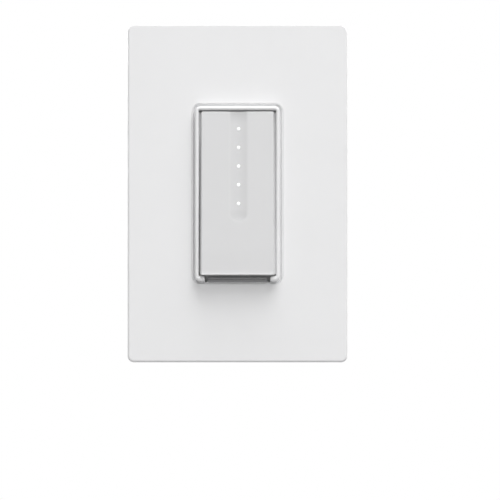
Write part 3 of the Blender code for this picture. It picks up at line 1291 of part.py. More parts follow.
def make_power_parts():
    make_part("film_capacitor", "yellow_plastic", box_shape(
        around(FILM_X, FILM_WIDTH), (PARTS_BACK, PARTS_BACK + FILM_DEPTH),
        around(FILM_Z, FILM_HEIGHT), corner=SMALL_CORNER, steps=2))
    transformer = make_part("power_transformer", "black_plastic", box_shape(
        around(CORE_X, CORE_WIDTH), (PARTS_BACK, PARTS_BACK + CORE_DEPTH),
        around(CORE_Z, CORE_HEIGHT), corner=SMALL_CORNER, steps=1))
    coil = new_shape()
    add_block(coil, around(CORE_X, COIL_WIDTH), (PARTS_BACK + FIT, PARTS_BACK + CORE_DEPTH - FIT),
              around(CORE_Z, COIL_HEIGHT), corner=COIL_CORNER, axis="Y", steps=2)
    join(transformer, coil)
    can = new_shape()
    add_rod(can, "Z", (ELECTROLYTIC_X, PARTS_BACK + ELECTROLYTIC_RADIUS, 0),
            around(ELECTROLYTIC_Z, ELECTROLYTIC_LENGTH), ELECTROLYTIC_RADIUS, sides=20)
    make_part("electrolytic_capacitor", "black_plastic", can)
    disc = new_shape()
    add_rod(disc, "Y", (VARISTOR_X, 0, VARISTOR_Z), (PARTS_BACK, PARTS_BACK + VARISTOR_THICKNESS),
            VARISTOR_RADIUS, sides=20)
    make_part("varistor", "ceramic", disc)
    tube = new_shape()
    add_rod(tube, "X", (0, PARTS_FRONT - FUSE_RADIUS, FUSE_Z), around(FUSE_X, FUSE_LENGTH),
            FUSE_RADIUS, sides=14)
    make_part("fuse", "clear_plastic", tube)


make_wall_plate()
make_sub_plate()
make_plate_screws()
make_strap()
make_mounting_screws()
make_bezel()
paddle_hinge = make_hinge()
make_paddle(paddle_hinge)
make_light_guide(paddle_hinge)
make_touch_board(paddle_hinge)
make_touch_ribbon()
make_indicator_leds()
make_control_board()
make_tact_switch()
make_return_springs()
make_radio_module()
make_air_gap()
make_rear_housing()
make_housing_screws()
make_terminals()
make_power_board()
make_board_header()
make_mosfets()
make_choke()
make_power_parts()
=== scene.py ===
import math

import bmesh
import bpy
import numpy as np
from mathutils import Matrix, Vector


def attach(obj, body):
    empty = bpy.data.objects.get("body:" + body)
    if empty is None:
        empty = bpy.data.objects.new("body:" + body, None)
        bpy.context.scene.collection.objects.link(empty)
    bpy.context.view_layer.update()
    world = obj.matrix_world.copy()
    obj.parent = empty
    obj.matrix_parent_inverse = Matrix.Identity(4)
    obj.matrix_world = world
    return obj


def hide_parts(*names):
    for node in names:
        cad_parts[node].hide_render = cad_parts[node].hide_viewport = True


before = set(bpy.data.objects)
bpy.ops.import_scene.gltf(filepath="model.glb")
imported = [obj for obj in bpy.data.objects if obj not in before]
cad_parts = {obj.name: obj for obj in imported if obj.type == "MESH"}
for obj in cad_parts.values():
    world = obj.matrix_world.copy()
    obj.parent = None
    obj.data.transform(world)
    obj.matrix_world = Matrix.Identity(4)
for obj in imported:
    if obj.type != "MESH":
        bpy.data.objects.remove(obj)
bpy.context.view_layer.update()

# Smart dimmer switch with its screwless wall plate.
# Lengths below are in millimetres unless a note says otherwise: x to the right, z up, the front
# faces -y and the wall's surface is y = 0. Meshes are scaled to metres as they are made.
mm = 0.001
hair = 0.01  # places that differ by less are taken as the same
print("frame loaded:", len(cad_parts), "nodes")


# Shapes from numpy grids

# Quads of a grid of rows x columns, each row joined to the next; wrap joins the last to the first
def gridQuads(rows, columns, wrapRows=False, wrapColumns=True, start=0):
    r, c = np.meshgrid(np.arange(rows - (not wrapRows)), np.arange(columns - (not wrapColumns)),
                       indexing="ij")
    nextR, nextC = (r + 1) % rows, (c + 1) % columns
    quads = np.stack([r * columns + c, r * columns + nextC, nextR * columns + nextC,
                      nextR * columns + c], axis=-1)
    return start + quads.reshape(-1, 4)


# Outline of a rectangle with round corners: four quarter circles, joined by straight sides; the
# top and the bottom carry extra points at the given x, which runs from left to right
def roundedRectangle(halfWidth, halfHeight, radius, alongX=(), steps=10):
    turn = np.linspace(0, np.pi / 2, steps + 1)
    alongX = np.asarray(alongX, float)

    def corner(signX, signZ, start):
        return np.stack([signX * (halfWidth - radius) + radius * np.cos(start + turn),
                         signZ * (halfHeight - radius) + radius * np.sin(start + turn)], axis=-1)

    def side(x, z):
        return np.stack([x, np.full(len(x), z)], axis=-1)

    return np.concatenate([
        corner(1, 1, 0), side(alongX[::-1], halfHeight), corner(-1, 1, np.pi / 2),
        corner(-1, -1, np.pi), side(alongX, -halfHeight), corner(1, -1, np.pi * 1.5)])


# Point numbers round the edge of a grid, in order
def gridRim(rows, columns):
    index = np.arange(rows * columns).reshape(rows, columns)
    return np.concatenate([index[0, :-1], index[:-1, -1], index[-1, :0:-1], index[:0:-1, 0]])


# Quads between two rings of point numbers
def ringQuads(first, second):
    return np.stack([first, np.roll(first, -1), np.roll(second, -1), second], axis=-1).tolist()


# Triangles between a ring of point numbers and one point
def ringFan(ring, middle):
    return np.stack([ring, np.roll(ring, -1), np.full(len(ring), middle)], axis=-1).tolist()


# Loops of points carried into a skin; the ends are closed by a fan to their middle, or the last
# loop is joined to the first
def loft(loops, wrap=False):
    loops = np.asarray(loops, float)
    rows, columns = loops.shape[:2]
    points = loops.reshape(-1, 3)
    faces = gridQuads(rows, columns, wrapRows=wrap).tolist()
    if not wrap:
        ring = np.arange(columns)
        faces += ringFan(ring, len(points))
        faces += ringFan(ring + (rows - 1) * columns, len(points) + 1)
        points = np.concatenate([points, loops[:1].mean(axis=1), loops[-1:].mean(axis=1)])
    return points, faces


# Both ends of a span about its middle
def around(middle, width):
    return middle - width / 2, middle + width / 2


# A span on the side that the sign gives, with its lower end first
def mirrored(sign, span):
    return sorted(sign * place for place in span)


# A box with its edges rounded: loops of a rounded rectangle in xz that shrink by a quarter circle
# towards the front and the back
def softBox(x, y, z, radius, steps=4):
    middle = np.array([(x[0] + x[1]) / 2, 0, (z[0] + z[1]) / 2])
    halfX, halfZ = (x[1] - x[0]) / 2, (z[1] - z[0]) / 2
    nearlyAll, smallestCorner = 0.98, 0.02
    radius = min(radius, halfX * nearlyAll, halfZ * nearlyAll, (y[1] - y[0]) / 2)
    angle = np.linspace(0, np.pi / 2, steps + 1)
    insets = radius * (1 - np.sin(angle))
    depths = radius * (1 - np.cos(angle))
    levels = [(inset, y[0] + depth) for inset, depth in zip(insets, depths)]
    levels += [(inset, y[1] - depth) for inset, depth in zip(insets[::-1], depths[::-1])]
    loops = []
    for inset, level in levels:
        outline = roundedRectangle(halfX - inset, halfZ - inset,
                                   max(radius - inset, smallestCorner), steps=3)
        loops.append(np.insert(outline, 1, level, axis=1) + middle)
    return loft(loops)


# A round skin: the profile's (radius, height) points turned about the z axis
def turned(profile, sides):
    profile = np.asarray(profile, float)
    angle = np.linspace(0, 2 * np.pi, sides, endpoint=False)
    loops = np.stack([np.outer(profile[:, 0], np.cos(angle)), np.outer(profile[:, 0], np.sin(angle)),
                      np.repeat(profile[:, 1:2], sides, axis=1)], axis=-1)
    return loft(loops)


# A rod with eased ends along x or y, from low to high on that axis
def rod(radius, low, high, axis, centre, sides=24):
    ease = 0.12
    profile = [(radius - ease, low), (radius, low + ease), (radius, high - ease),
               (radius - ease, high)]
    alongAxis = {"x": [(0, 0, 1), (0, 1, 0), (-1, 0, 0)], "y": [(1, 0, 0), (0, 0, 1), (0, -1, 0)]}
    return moved(turned(profile, sides), alongAxis[axis], centre)


# A shape turned by a matrix and then moved
def moved(shape, turn=None, by=(0, 0, 0)):
    points, faces = shape
    if turn is not None:
        points = points @ np.asarray(turn).T
    return points + np.asarray(by, float), faces


# Shapes joined into one, with their points numbered on
def together(shapes):
    points, faces, count = [], [], 0
    for shapePoints, shapeFaces in shapes:
        points.append(shapePoints)
        faces += [[index + count for index in face] for face in shapeFaces]
        count += len(shapePoints)
    return np.concatenate(points), faces


# Puts a shape into a mesh in metres, turns its faces outwards, keeps hard edges above the angle,
# ties it to its body and its material slot, and hides the CAD nodes it stands for
def addPiece(name, shape, material, body, nodes, hardAngle=35):
    points, faces = shape
    mesh = bpy.data.meshes.new(name)
    mesh.from_pydata((points * mm).tolist(), [], faces)
    bm = bmesh.new()
    bm.from_mesh(mesh)
    bmesh.ops.remove_doubles(bm, verts=bm.verts, dist=1e-8)
    bmesh.ops.recalc_face_normals(bm, faces=bm.faces)
    bm.to_mesh(mesh)
    bm.free()
    mesh.polygons.foreach_set("use_smooth", np.ones(len(mesh.polygons), bool))
    mesh.set_sharp_from_angle(angle=math.radians(hardAngle))
    mesh.update()
    piece = bpy.data.objects.new(name, mesh)
    bpy.context.scene.collection.objects.link(piece)
    mesh.materials.append(material)
    weighted = piece.modifiers.new("even shading", "WEIGHTED_NORMAL")
    weighted.keep_sharp = True
    weighted.weight = 80
    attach(piece, body)
    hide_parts(*nodes)
    return piece


# Materials

# A new node in the tree of the socket: a value goes to the input or the setting of its name
def nodeBy(socket, kind, **values):
    fresh = socket.id_data.nodes.new(kind)
    for key, value in values.items():
        if key in fresh.inputs:
            fresh.inputs[key].default_value = value
        else:
            setattr(fresh, key, value)
    return fresh


def link(source, target):
    target.id_data.links.new(source, target)


# A bare node material: returns it, its shader and its object coordinates
def newMaterial(name):
    made = bpy.data.materials.new(name)
    made.use_nodes = True
    nodes = made.node_tree.nodes
    return made, nodes["Principled BSDF"], nodes.new("ShaderNodeTexCoord").outputs["Object"]


# Noise at a grain size in millimetres, stretched by a factor for each axis
def noiseAt(coords, grain, detail=2.0, stretch=(1, 1, 1)):
    noise = nodeBy(coords, "ShaderNodeTexNoise", Scale=1 / (grain * mm), Detail=detail,
                   Roughness=0.55)
    mapping = nodeBy(coords, "ShaderNodeMapping", Scale=stretch)
    link(coords, mapping.inputs["Vector"])
    link(mapping.outputs["Vector"], noise.inputs["Vector"])
    return noise.outputs["Fac"]


# A value carried from start .. end to low .. high and held there; noise mostly runs 0.3 .. 0.7
def rangeOf(value, low, high, start=0.3, end=0.7):
    spread = nodeBy(value, "ShaderNodeMapRange")
    spread.inputs["From Min"].default_value = start
    spread.inputs["From Max"].default_value = end
    spread.inputs["To Min"].default_value = low
    spread.inputs["To Max"].default_value = high
    link(value, spread.inputs["Value"])
    return spread.outputs["Result"]


# An operation on a socket and a second value, which is a socket or a number
def mathOf(operation, first, second):
    result = nodeBy(first, "ShaderNodeMath", operation=operation)
    link(first, result.inputs[0])
    if isinstance(second, (int, float)):
        result.inputs[1].default_value = second
    else:
        link(second, result.inputs[1])
    return result.outputs[0]


# A mix of two colours, each of them a socket or a fixed colour
def mixColours(factor, first, second):
    mix = nodeBy(factor, "ShaderNodeMix", data_type="RGBA")
    link(factor, mix.inputs["Factor"])
    for socket, value in ((mix.inputs[6], first), (mix.inputs[7], second)):
        if isinstance(value, tuple):
            socket.default_value = (*value, 1)
        else:
            link(value, socket)
    return mix.outputs[2]


# Depth in millimetres; a bump can lie over another one
def bumpFrom(height, depth, shader, under=None):
    bump = nodeBy(height, "ShaderNodeBump", Strength=1.0, Distance=depth * mm)
    link(height, bump.inputs["Height"])
    if under is not None:
        link(under, bump.inputs["Normal"])
    link(bump.outputs["Normal"], shader.inputs["Normal"])
    return bump.outputs["Normal"]


# Moulded plastic: a slow drift of colour, and a fine spark-eroded grain in its gloss and relief.
# Painted shade, where a piece has it, is laid over the colour as a tint
def mouldedPlastic(name, look, tint=None):
    made, shader, coords = newMaterial(name)
    slow = rangeOf(noiseAt(coords, look["drift"]), 0, 1)
    darker = tuple(part * (1 - look["vary"]) for part in look["colour"])
    skin = mixColours(slow, darker, look["colour"])
    link(tint(coords, skin) if tint else skin, shader.inputs["Base Color"])
    grain = noiseAt(coords, look["grain"], 3.0)
    link(rangeOf(grain, *look["gloss"]), shader.inputs["Roughness"])
    shader.inputs["IOR"].default_value = 1.5
    bumpFrom(grain, look["depth"], shader)
    return made


# Plated or plain metal: rolled streaks along one axis, small clouds in colour and gloss, and pits
# that are finer and half as deep as the streaks
def rolledMetal(name, look):
    made, shader, coords = newMaterial(name)
    streaks = noiseAt(coords, look["streak"], 3.0, look.get("along", (1, 1, 1)))
    clouds = noiseAt(coords, look["cloud"], 3.0)
    pits = noiseAt(coords, look["streak"] * 0.6)
    link(mixColours(rangeOf(clouds, 0, 1), look["colour"], look["tint"]), shader.inputs["Base Color"])
    link(rangeOf(clouds, *look["gloss"]), shader.inputs["Roughness"])
    shader.inputs["Metallic"].default_value = look.get("metallic", 1.0)
    rolled = bumpFrom(streaks, look["depth"], shader)
    bumpFrom(pits, look["depth"] * 0.5, shader, under=rolled)
    return made


# Glass-fibre board: a solder mask over a woven base, with copper tracks that show through. A row of
# the brick pattern is a quarter of its unit high, and its mortar is the track
def circuitBoard(name, look):
    made, shader, coords = newMaterial(name)
    weave = nodeBy(coords, "ShaderNodeTexWave", Scale=1 / (look["weave"] * mm), Distortion=0.4,
                   Detail=1.0)
    link(coords, weave.inputs["Vector"])
    tracks = nodeBy(coords, "ShaderNodeTexBrick", Scale=0.25 / (look["trackPitch"] * mm))
    tracks.inputs["Mortar Size"].default_value = look["trackWidth"]
    turnedCoords = nodeBy(coords, "ShaderNodeMapping", Rotation=(math.pi / 2, 0, 0))
    link(coords, turnedCoords.inputs["Vector"])
    link(turnedCoords.outputs["Vector"], tracks.inputs["Vector"])
    paler = tuple(part * look["paler"] for part in look["colour"])
    masked = mixColours(weave.outputs["Fac"], look["colour"], paler)
    link(mixColours(tracks.outputs["Fac"], masked, look["copper"]), shader.inputs["Base Color"])
    link(rangeOf(noiseAt(coords, look["cloud"]), *look["gloss"]), shader.inputs["Roughness"])
    bumpFrom(tracks.outputs["Fac"], look["depth"], shader)
    return made


# Pressed fibre: matted threads in two sizes
def pressedFibre(name, look):
    made, shader, coords = newMaterial(name)
    threads = noiseAt(coords, look["thread"], 4.0, (1, 1, 0.35))
    mat = noiseAt(coords, look["mat"], 3.0, (0.5, 1, 1))
    rough = mixColours(rangeOf(mat, 0, 1), look["colour"], look["dark"])
    link(mixColours(rangeOf(threads, 0, 0.35), rough, look["pale"]), shader.inputs["Base Color"])
    link(rangeOf(threads, *look["gloss"]), shader.inputs["Roughness"])
    bumpFrom(threads, look["depth"], shader)
    return made


# Clear moulding: lets light through, with slight flow lines
def clearMoulding(name, look):
    made, shader, coords = newMaterial(name)
    flow = noiseAt(coords, look["flow"], 2.0, (1, 1, 0.3))
    link(rangeOf(flow, *look["gloss"]), shader.inputs["Roughness"])
    link(mixColours(rangeOf(flow, 0, 1), look["colour"], look["tint"]), shader.inputs["Base Color"])
    shader.inputs["Transmission Weight"].default_value = look["through"]
    shader.inputs["IOR"].default_value = 1.49
    bumpFrom(flow, look["depth"], shader)
    return made


# Light pin: a frosted skin that glows faintly
def lightPin(name, look):
    made, shader, coords = newMaterial(name)
    frost = noiseAt(coords, look["frost"])
    glow = mixColours(rangeOf(frost, 0, 1), look["colour"], look["warm"])
    link(glow, shader.inputs["Base Color"])
    link(glow, shader.inputs["Emission Color"])
    shader.inputs["Emission Strength"].default_value = look["strength"]
    link(rangeOf(frost, *look["gloss"]), shader.inputs["Roughness"])
    bumpFrom(frost, look["depth"], shader)
    return made


plasticLooks = {
    "plateWhite": {"colour": (0.83, 0.83, 0.835), "vary": 0.012, "drift": 14, "grain": 0.22,
                   "gloss": (0.36, 0.44), "depth": 0.003},
    "bezelWhite": {"colour": (0.83, 0.83, 0.835), "vary": 0.012, "drift": 9, "grain": 0.18,
                   "gloss": (0.26, 0.34), "depth": 0.002},
    # dark grey that stands in for the shade under the paddle: painted shade
    "tabPaintedShadeGrey": {"colour": (0.25, 0.25, 0.255), "vary": 0.03, "drift": 5, "grain": 0.2,
                "gloss": (0.4, 0.5), "depth": 0.003},
    "innerWhite": {"colour": (0.76, 0.76, 0.75), "vary": 0.03, "drift": 11, "grain": 0.3,
                   "gloss": (0.45, 0.58), "depth": 0.006},
    "housingGrey": {"colour": (0.17, 0.18, 0.19), "vary": 0.1, "drift": 8, "grain": 0.3,
                    "gloss": (0.5, 0.64), "depth": 0.03},
    "blackMoulding": {"colour": (0.022, 0.022, 0.024), "vary": 0.15, "drift": 4, "grain": 0.2,
                      "gloss": (0.38, 0.5), "depth": 0.01},
    "yellowMoulding": {"colour": (0.75, 0.52, 0.08), "vary": 0.06, "drift": 4, "grain": 0.25,
                       "gloss": (0.3, 0.42), "depth": 0.008},
    "blueCoating": {"colour": (0.1, 0.22, 0.5), "vary": 0.12, "drift": 2, "grain": 0.5,
                    "gloss": (0.35, 0.5), "depth": 0.03},
    "amberFilm": {"colour": (0.65, 0.32, 0.06), "vary": 0.1, "drift": 1.5, "grain": 0.4,
                  "gloss": (0.2, 0.3), "depth": 0.004},
    "ledLens": {"colour": (0.95, 0.95, 0.88), "vary": 0.04, "drift": 0.4, "grain": 0.1,
                "gloss": (0.2, 0.3), "depth": 0.003},
}
metalLooks = {
    "strapZinc": {"colour": (0.62, 0.62, 0.6), "tint": (0.7, 0.69, 0.64), "streak": 0.25,
                  "along": (1, 1, 0.06), "cloud": 3.5, "gloss": (0.3, 0.45), "depth": 0.004},
    "screwZinc": {"colour": (0.6, 0.6, 0.59), "tint": (0.7, 0.68, 0.6), "streak": 0.15,
                  "cloud": 1.4, "gloss": (0.24, 0.36), "depth": 0.003},
    "springWire": {"colour": (0.5, 0.5, 0.5), "tint": (0.6, 0.6, 0.6), "streak": 0.08,
                   "cloud": 0.6, "gloss": (0.2, 0.32), "depth": 0.002},
    "plainBrass": {"colour": (0.72, 0.52, 0.24), "tint": (0.62, 0.42, 0.17), "streak": 0.2,
                   "along": (1, 1, 0.2), "cloud": 1.6, "gloss": (0.24, 0.38), "depth": 0.003},
    "enamelledCopper": {"colour": (0.72, 0.33, 0.18), "tint": (0.6, 0.25, 0.11), "streak": 0.3,
                        "cloud": 1.2, "gloss": (0.2, 0.34), "depth": 0.01},
    "greenSteel": {"colour": (0.05, 0.32, 0.12), "tint": (0.03, 0.24, 0.09), "streak": 0.2,
                   "cloud": 0.9, "gloss": (0.26, 0.4), "depth": 0.003, "metallic": 0.6},
    "whitePaint": {"colour": (0.8, 0.8, 0.8), "tint": (0.74, 0.74, 0.73), "streak": 0.2,
                   "cloud": 0.9, "gloss": (0.3, 0.42), "depth": 0.004, "metallic": 0.0},
}
finish = {name: mouldedPlastic(name, look) for name, look in plasticLooks.items()}
finish.update({name: rolledMetal(name, look) for name, look in metalLooks.items()})
finish["greenBoard"] = circuitBoard("greenBoard", {
    "colour": (0.02, 0.18, 0.07), "paler": 1.15, "copper": (0.05, 0.27, 0.1), "weave": 2.4,
    "trackPitch": 2.54, "trackWidth": 0.06, "cloud": 3.0, "gloss": (0.3, 0.42), "depth": 0.03})
finish["pressedFibre"] = pressedFibre("pressedFibre", {
    "colour": (0.55, 0.42, 0.26), "dark": (0.42, 0.31, 0.18), "pale": (0.68, 0.56, 0.38),
    "thread": 0.35, "mat": 1.6, "gloss": (0.75, 0.9), "depth": 0.04})
finish["clearPlastic"] = clearMoulding("clearPlastic", {
    "colour": (0.92, 0.94, 0.96), "tint": (0.86, 0.9, 0.93), "flow": 2.0, "gloss": (0.04, 0.1),
    "through": 0.85, "depth": 0.01})
finish["pinGlow"] = lightPin("pinGlow", {
    "colour": (1.0, 1.0, 1.0), "warm": (0.97, 0.98, 1.0), "frost": 0.2, "gloss": (0.25, 0.4),
    "strength": 0.22, "depth": 0.01})
print("materials made:", len(finish))


# Wall plate

wallPlateLook = {
    "half": (40.55, 62.05), "corner": 2.4, "front": -6.5, "edgeRound": 0.9, "topShare": 0.15,
    "rimRound": 0.15,
    "window": (16.81, 33.31), "windowCorner": 3.16, "windowRound": 0.1, "windowRise": 0.25,
    "inner": (38.75, 60.25), "innerCorner": 1.2, "innerFace": -4.7,
    "catchX": 21.0, "catchWidth": 9.0, "catchArm": (56.8, 58.3), "catchHook": (55.3, 58.3),
    "catchLevels": (-4.9, -2.8, -1.3),  # front of the arm, front of the hook, back
}


# Rounded rectangles carried from the rim round the front edge, across the face, through the
# window and back along the hollow: each level is (half width, half height, corner, y). The
# window sits higher by its rise, and at the top the round edge takes only a share of its height
def makeWallPlate(look):
    halfW, halfH = look["half"]
    winW, winH = look["window"]
    innerW, innerH = look["inner"]
    outerCorner, winCorner, innerCorner = look["corner"], look["windowCorner"], look["innerCorner"]
    radius, rim, lip = look["edgeRound"], look["rimRound"], look["windowRound"]
    front, face = look["front"], look["innerFace"]
    levels = [(halfW - rim, halfH - rim, outerCorner - rim, 0.0), (halfW, halfH, outerCorner, -rim)]
    for angle in np.linspace(0, np.pi / 2, 15):
        inset = radius * (1 - math.cos(angle))
        levels.append((halfW - inset, halfH - inset, outerCorner - inset,
                       front + radius * (1 - math.sin(angle))))
    for angle in np.linspace(np.pi / 2, 0, 6):
        grow = lip * (1 - math.cos(angle))
        levels.append((winW + grow, winH + grow, winCorner + grow,
                       front + lip * (1 - math.sin(angle))))
    levels += [(winW, winH, winCorner, face), (innerW, innerH, innerCorner, face),
               (innerW, innerH, innerCorner, -rim),
               (innerW + rim, innerH + rim, innerCorner + rim, 0.0)]
    loops = []
    for width, height, corner, y in levels:
        outline = roundedRectangle(width, height, corner, steps=14)
        if width < innerW - hair:
            outline[:, 1] += look["windowRise"]
        elif width > innerW + rim + hair:
            taller = 1 + (1 - look["topShare"]) * (halfH - height) / halfH
            outline[:, 1] *= np.where(outline[:, 1] > 0, taller, 1)
        loops.append(np.insert(outline, 1, y, axis=1))
    shapes = [loft(loops, wrap=True)]
    armFront, hookFront, back = look["catchLevels"]
    for signX in (-1, 1):
        x = around(signX * look["catchX"], look["catchWidth"])
        for signZ in (-1, 1):
            shapes.append(softBox(x, (armFront, back), mirrored(signZ, look["catchArm"]), 0.2))
            shapes.append(softBox(x, (hookFront, back), mirrored(signZ, look["catchHook"]), 0.3))
    return addPiece("wallPlate", together(shapes), finish["plateWhite"], "device",
                    ["wall_plate"])


makeWallPlate(wallPlateLook)
print("wall plate done")


# Bezel

bezelLook = {
    "half": (16.75, 33.25), "corner": 3.1, "smallestCorner": 0.45,
    "flange": 2.0, "flangeLevels": (-1.6, -2.8), "sideFoot": -6.6,
    "trough": (0.34, 1.16), "troughEndStart": 0.05, "troughDepth": 1.0,
    "beadInset": 1.2, "beadWidth": 1.4, "beadBase": -9.15, "beadRise": 0.55, "rise": 0.25,
    "lip": -8.55, "sideWall": 1.9, "endWall": 2.8, "ledge": -7.7, "back": -1.6, "ease": 0.04,
    "chinHalf": 12.0, "chinReach": 4.0, "chinFloor": -5.4, "chinEdge": 0.5,
    "chinEdgeFloor": -6.45, "hookRound": 0.5, "hookGrow": 0.45,
    "endSlot": (11.15, 11.9), "endSlotFloor": -3.4,
    "legX": 15.6, "legZ": 23.5, "legSize": (1.4, 4.0), "legFront": -2.0,
    "legHook": (0.3, 1.9), "legBite": 1.5,
    "clip": {"x": (13.45, 14.65), "y": (-4.3, -3.5), "z": (-21.1245, -17.1245)},
}


# Section of the bezel as (inset at the sides, inset at the ends, y): flange, foot, a half-ellipse
# trough, a half-ellipse bead, then a lip that stands over the paddle's rail at the sides and a
# ledge at the ends. At the ends the foot is narrower and the trough wider
def bezelSection(look):
    turn = np.linspace(0, np.pi, 15)
    low, high = look["flangeLevels"]
    reach, foot = -look["flange"], look["sideFoot"]
    rim = [(reach, reach, low), (reach, reach, high), (0, 0, high), (0, 0, foot)]
    outer, inner = look["trough"]
    atSides = outer + (inner - outer) / 2 * (1 - np.cos(turn))
    atEnds = atSides - (inner - atSides) * (outer - look["troughEndStart"]) / (inner - outer)
    trough = np.column_stack([atSides, atEnds, foot + look["troughDepth"] * np.sin(turn)])
    start, width = look["beadInset"], look["beadWidth"]
    across = start + width / 2 * (1 - np.cos(turn))
    bead = np.column_stack([across, across, look["beadBase"] - look["beadRise"] * np.sin(turn)])
    end, lip, ledge, ease = start + width, look["lip"], look["ledge"], look["ease"]
    side, last = look["sideWall"], look["endWall"]
    inside = [(end, end, lip), (end - 2 * ease, end + ease, lip + 2 * ease),
              (side + ease, end + 2.5 * ease, ledge), (side, last - 3 * ease, ledge + ease / 2),
              (side, last, ledge + 3.5 * ease), (side, last, look["back"])]
    return np.concatenate([rim, trough, bead, inside])


# The section is carried round the rounded rectangle. Over the open chin the foot and the trough
# become a flat sill, nearly level with the plate, and what lies behind it stays at the chin's
# floor, or at the slot's floor in the slots at both ends. A quarter circle rounds the two hooks
def makeBezel(look):
    half, rounding, wall = look["chinHalf"], look["hookRound"], look["ease"]
    slotFrom, slotTo = look["endSlot"]
    hookFront = look["beadBase"] - look["beadRise"]
    turn = np.linspace(0, np.pi / 2, 7)
    places = np.concatenate([[0, 4, 8, slotFrom - wall, slotFrom, slotTo, slotTo + wall, half],
                             half + rounding * (1 - np.cos(turn[1:])), [half + 1.0, half + 1.6]])
    alongX = np.unique(np.concatenate([-places, places]).round(4))
    loops = []
    for side, end, y in bezelSection(look):
        corner = max(look["corner"] - side, look["smallestCorner"])
        outline = roundedRectangle(look["half"][0] - side, look["half"][1] - end, corner, alongX)
        x, z = outline.T
        away = np.abs(x)
        bottom = z < look["chinReach"] - look["half"][1]
        overChin = away < half - hair
        onEdge = end <= look["chinEdge"]
        floor = look["chinEdgeFloor"] if onEdge else look["chinFloor"]
        reach = np.clip((half + rounding - away) / rounding, 0, 1)
        limit = hookFront + rounding * (1 - np.sqrt(1 - reach ** 2))
        limit = np.where(overChin, floor, limit)
        if not onEdge:
            inSlot = (away > slotFrom - hair) & (away < slotTo + hair)
            limit = np.where(inSlot, look["endSlotFloor"], limit)
        level = np.where(bottom, np.maximum(y, limit), y)
        if onEdge and y < look["sideFoot"] + look["troughDepth"] + hair:
            level = np.where(bottom & overChin, floor, level)  # the trough stops at the hooks
        rise = look["rise"] if end < look["beadInset"] - hair else 0
        if y < look["lip"] + hair:  # the bead widens a little where it becomes a hook
            share = np.clip((end - look["beadInset"]) / look["beadWidth"], 0, 1)
            grow = share * look["hookGrow"] * np.clip((away - half) / rounding, 0, 1)
            rise = np.where(bottom, grow, 0)
        loops.append(np.stack([x, level, z + rise], axis=-1))
    shapes = [loft(loops, wrap=True)]
    thick, wide = look["legSize"]
    clip = look["clip"]
    for signX in (-1, 1):
        leg = around(signX * look["legX"], thick)
        bite = mirrored(signX, (look["legX"], look["legX"] + look["legBite"]))
        shapes.append(softBox(mirrored(signX, clip["x"]), clip["y"], clip["z"], 0.2))
        for signZ in (-1, 1):
            z = around(signZ * look["legZ"], wide)
            shapes.append(softBox(leg, (look["legFront"], look["legHook"][1]), z, 0.2))
            shapes.append(softBox(bite, look["legHook"], z, 0.2))
    return addPiece("frontBezel", together(shapes), finish["bezelWhite"], "device",
                    ["front_bezel"], hardAngle=40)


makeBezel(bezelLook)
print("bezel done")


# Paddle and its light pins

hinge = {"y": -4.5, "z": 28.8755, "tilt": -2.0}
tilt = math.radians(hinge["tilt"])
hingeTurn = [(1, 0, 0), (0, math.cos(tilt), -math.sin(tilt)), (0, math.sin(tilt), math.cos(tilt))]
hingePlace = (0, hinge["y"], hinge["z"])
# Places from the hinge's axis, before the tilt; those of the rails and lips are the device's own
paddleLook = {
    "halfWidth": 13.22, "bottom": -58.8, "top": 1.1, "front": -5.0, "back": 0.5,
    "corner": 0.5, "edgeRound": 0.25, "faceThickness": 1.6, "skirt": 1.4, "rimRound": 0.15,
    "lowerRim": (0.25, 0.85, 8.0), "lowerRimDepth": 0.1,
    "draft": (0.5, 0.78), "draftDepth": 2.0,
    "finish": {"colour": (0.685, 0.685, 0.69), "vary": 0.01, "drift": 12, "grain": 0.2,
               "gloss": (0.38, 0.46), "depth": 0.003},
    # painted shade in the groove: stops of (height, darkening), then the mask's edge in half widths
    "groovePaintedShade": ((-37.5, 0.13), (-34.6, 0.045), (-3.2, 0.045), (0.9, 0.16)),
    "groovePaintedShadeEdge": (0.8, 1.05),
    "grooveX": 0.4, "grooveHalf": 3.3, "grooveDepth": 0.32, "grooveEnd": -39.3,
    "grooveEndShare": 0.9, "grooveBlend": 0.05,
    "backingHalf": 5.2, "backingDepth": 1.2,
    "rail": (13.0, 14.1), "railFronts": ((-8.1, -7.2), (-8.2, -9.3)), "railBack": -6.6,
    "railHeights": (-29.5, 29.9),
    "trunnion": {"radius": 1.1, "x": (12.6, 14.8)},
    "stop": {"x": (12.6, 14.8), "y": (-0.5, 0.5), "z": (-55.2, -52.2)},
    "ribDepth": (-3.5, -2.2), "sideRib": {"x": (10.2, 12.2), "z": (-39.3, -4.3)},
    "crossRibs": (-43.65, -54.7), "ribWidth": 0.9,
    "springPeg": {"radius": 1.1, "x": 8.8, "z": -52.0, "y": (-3.5, -1.8)},
    "post": {"radius": 1.6, "z": -48.0, "y": (-3.5, -1.73)},
    "lipHalf": 13.4, "lowLip": {"y": (-5.9, -5.2), "z": (-30.38, -29.3)},
    "highLip": {"y": (-6.2, -5.4), "z": (29.5, 30.38)},
}


# Depth of the groove: a round section with a blunt end, its rim eased by a soft maximum
def grooveDepth(x, z, look):
    half, depth, share = look["grooveHalf"], look["grooveDepth"], look["grooveEndShare"]
    radius = (half ** 2 + depth ** 2) / (2 * depth)
    centre = look["grooveEnd"] + half * share
    away = np.hypot(x - look["grooveX"], np.minimum(z - centre, 0) / share)
    scoop = np.sqrt(np.maximum(radius ** 2 - away ** 2, 0)) - (radius - depth)
    blend = look["grooveBlend"]
    return blend * np.logaddexp(0, np.where(away < radius, scoop, -1) / blend)
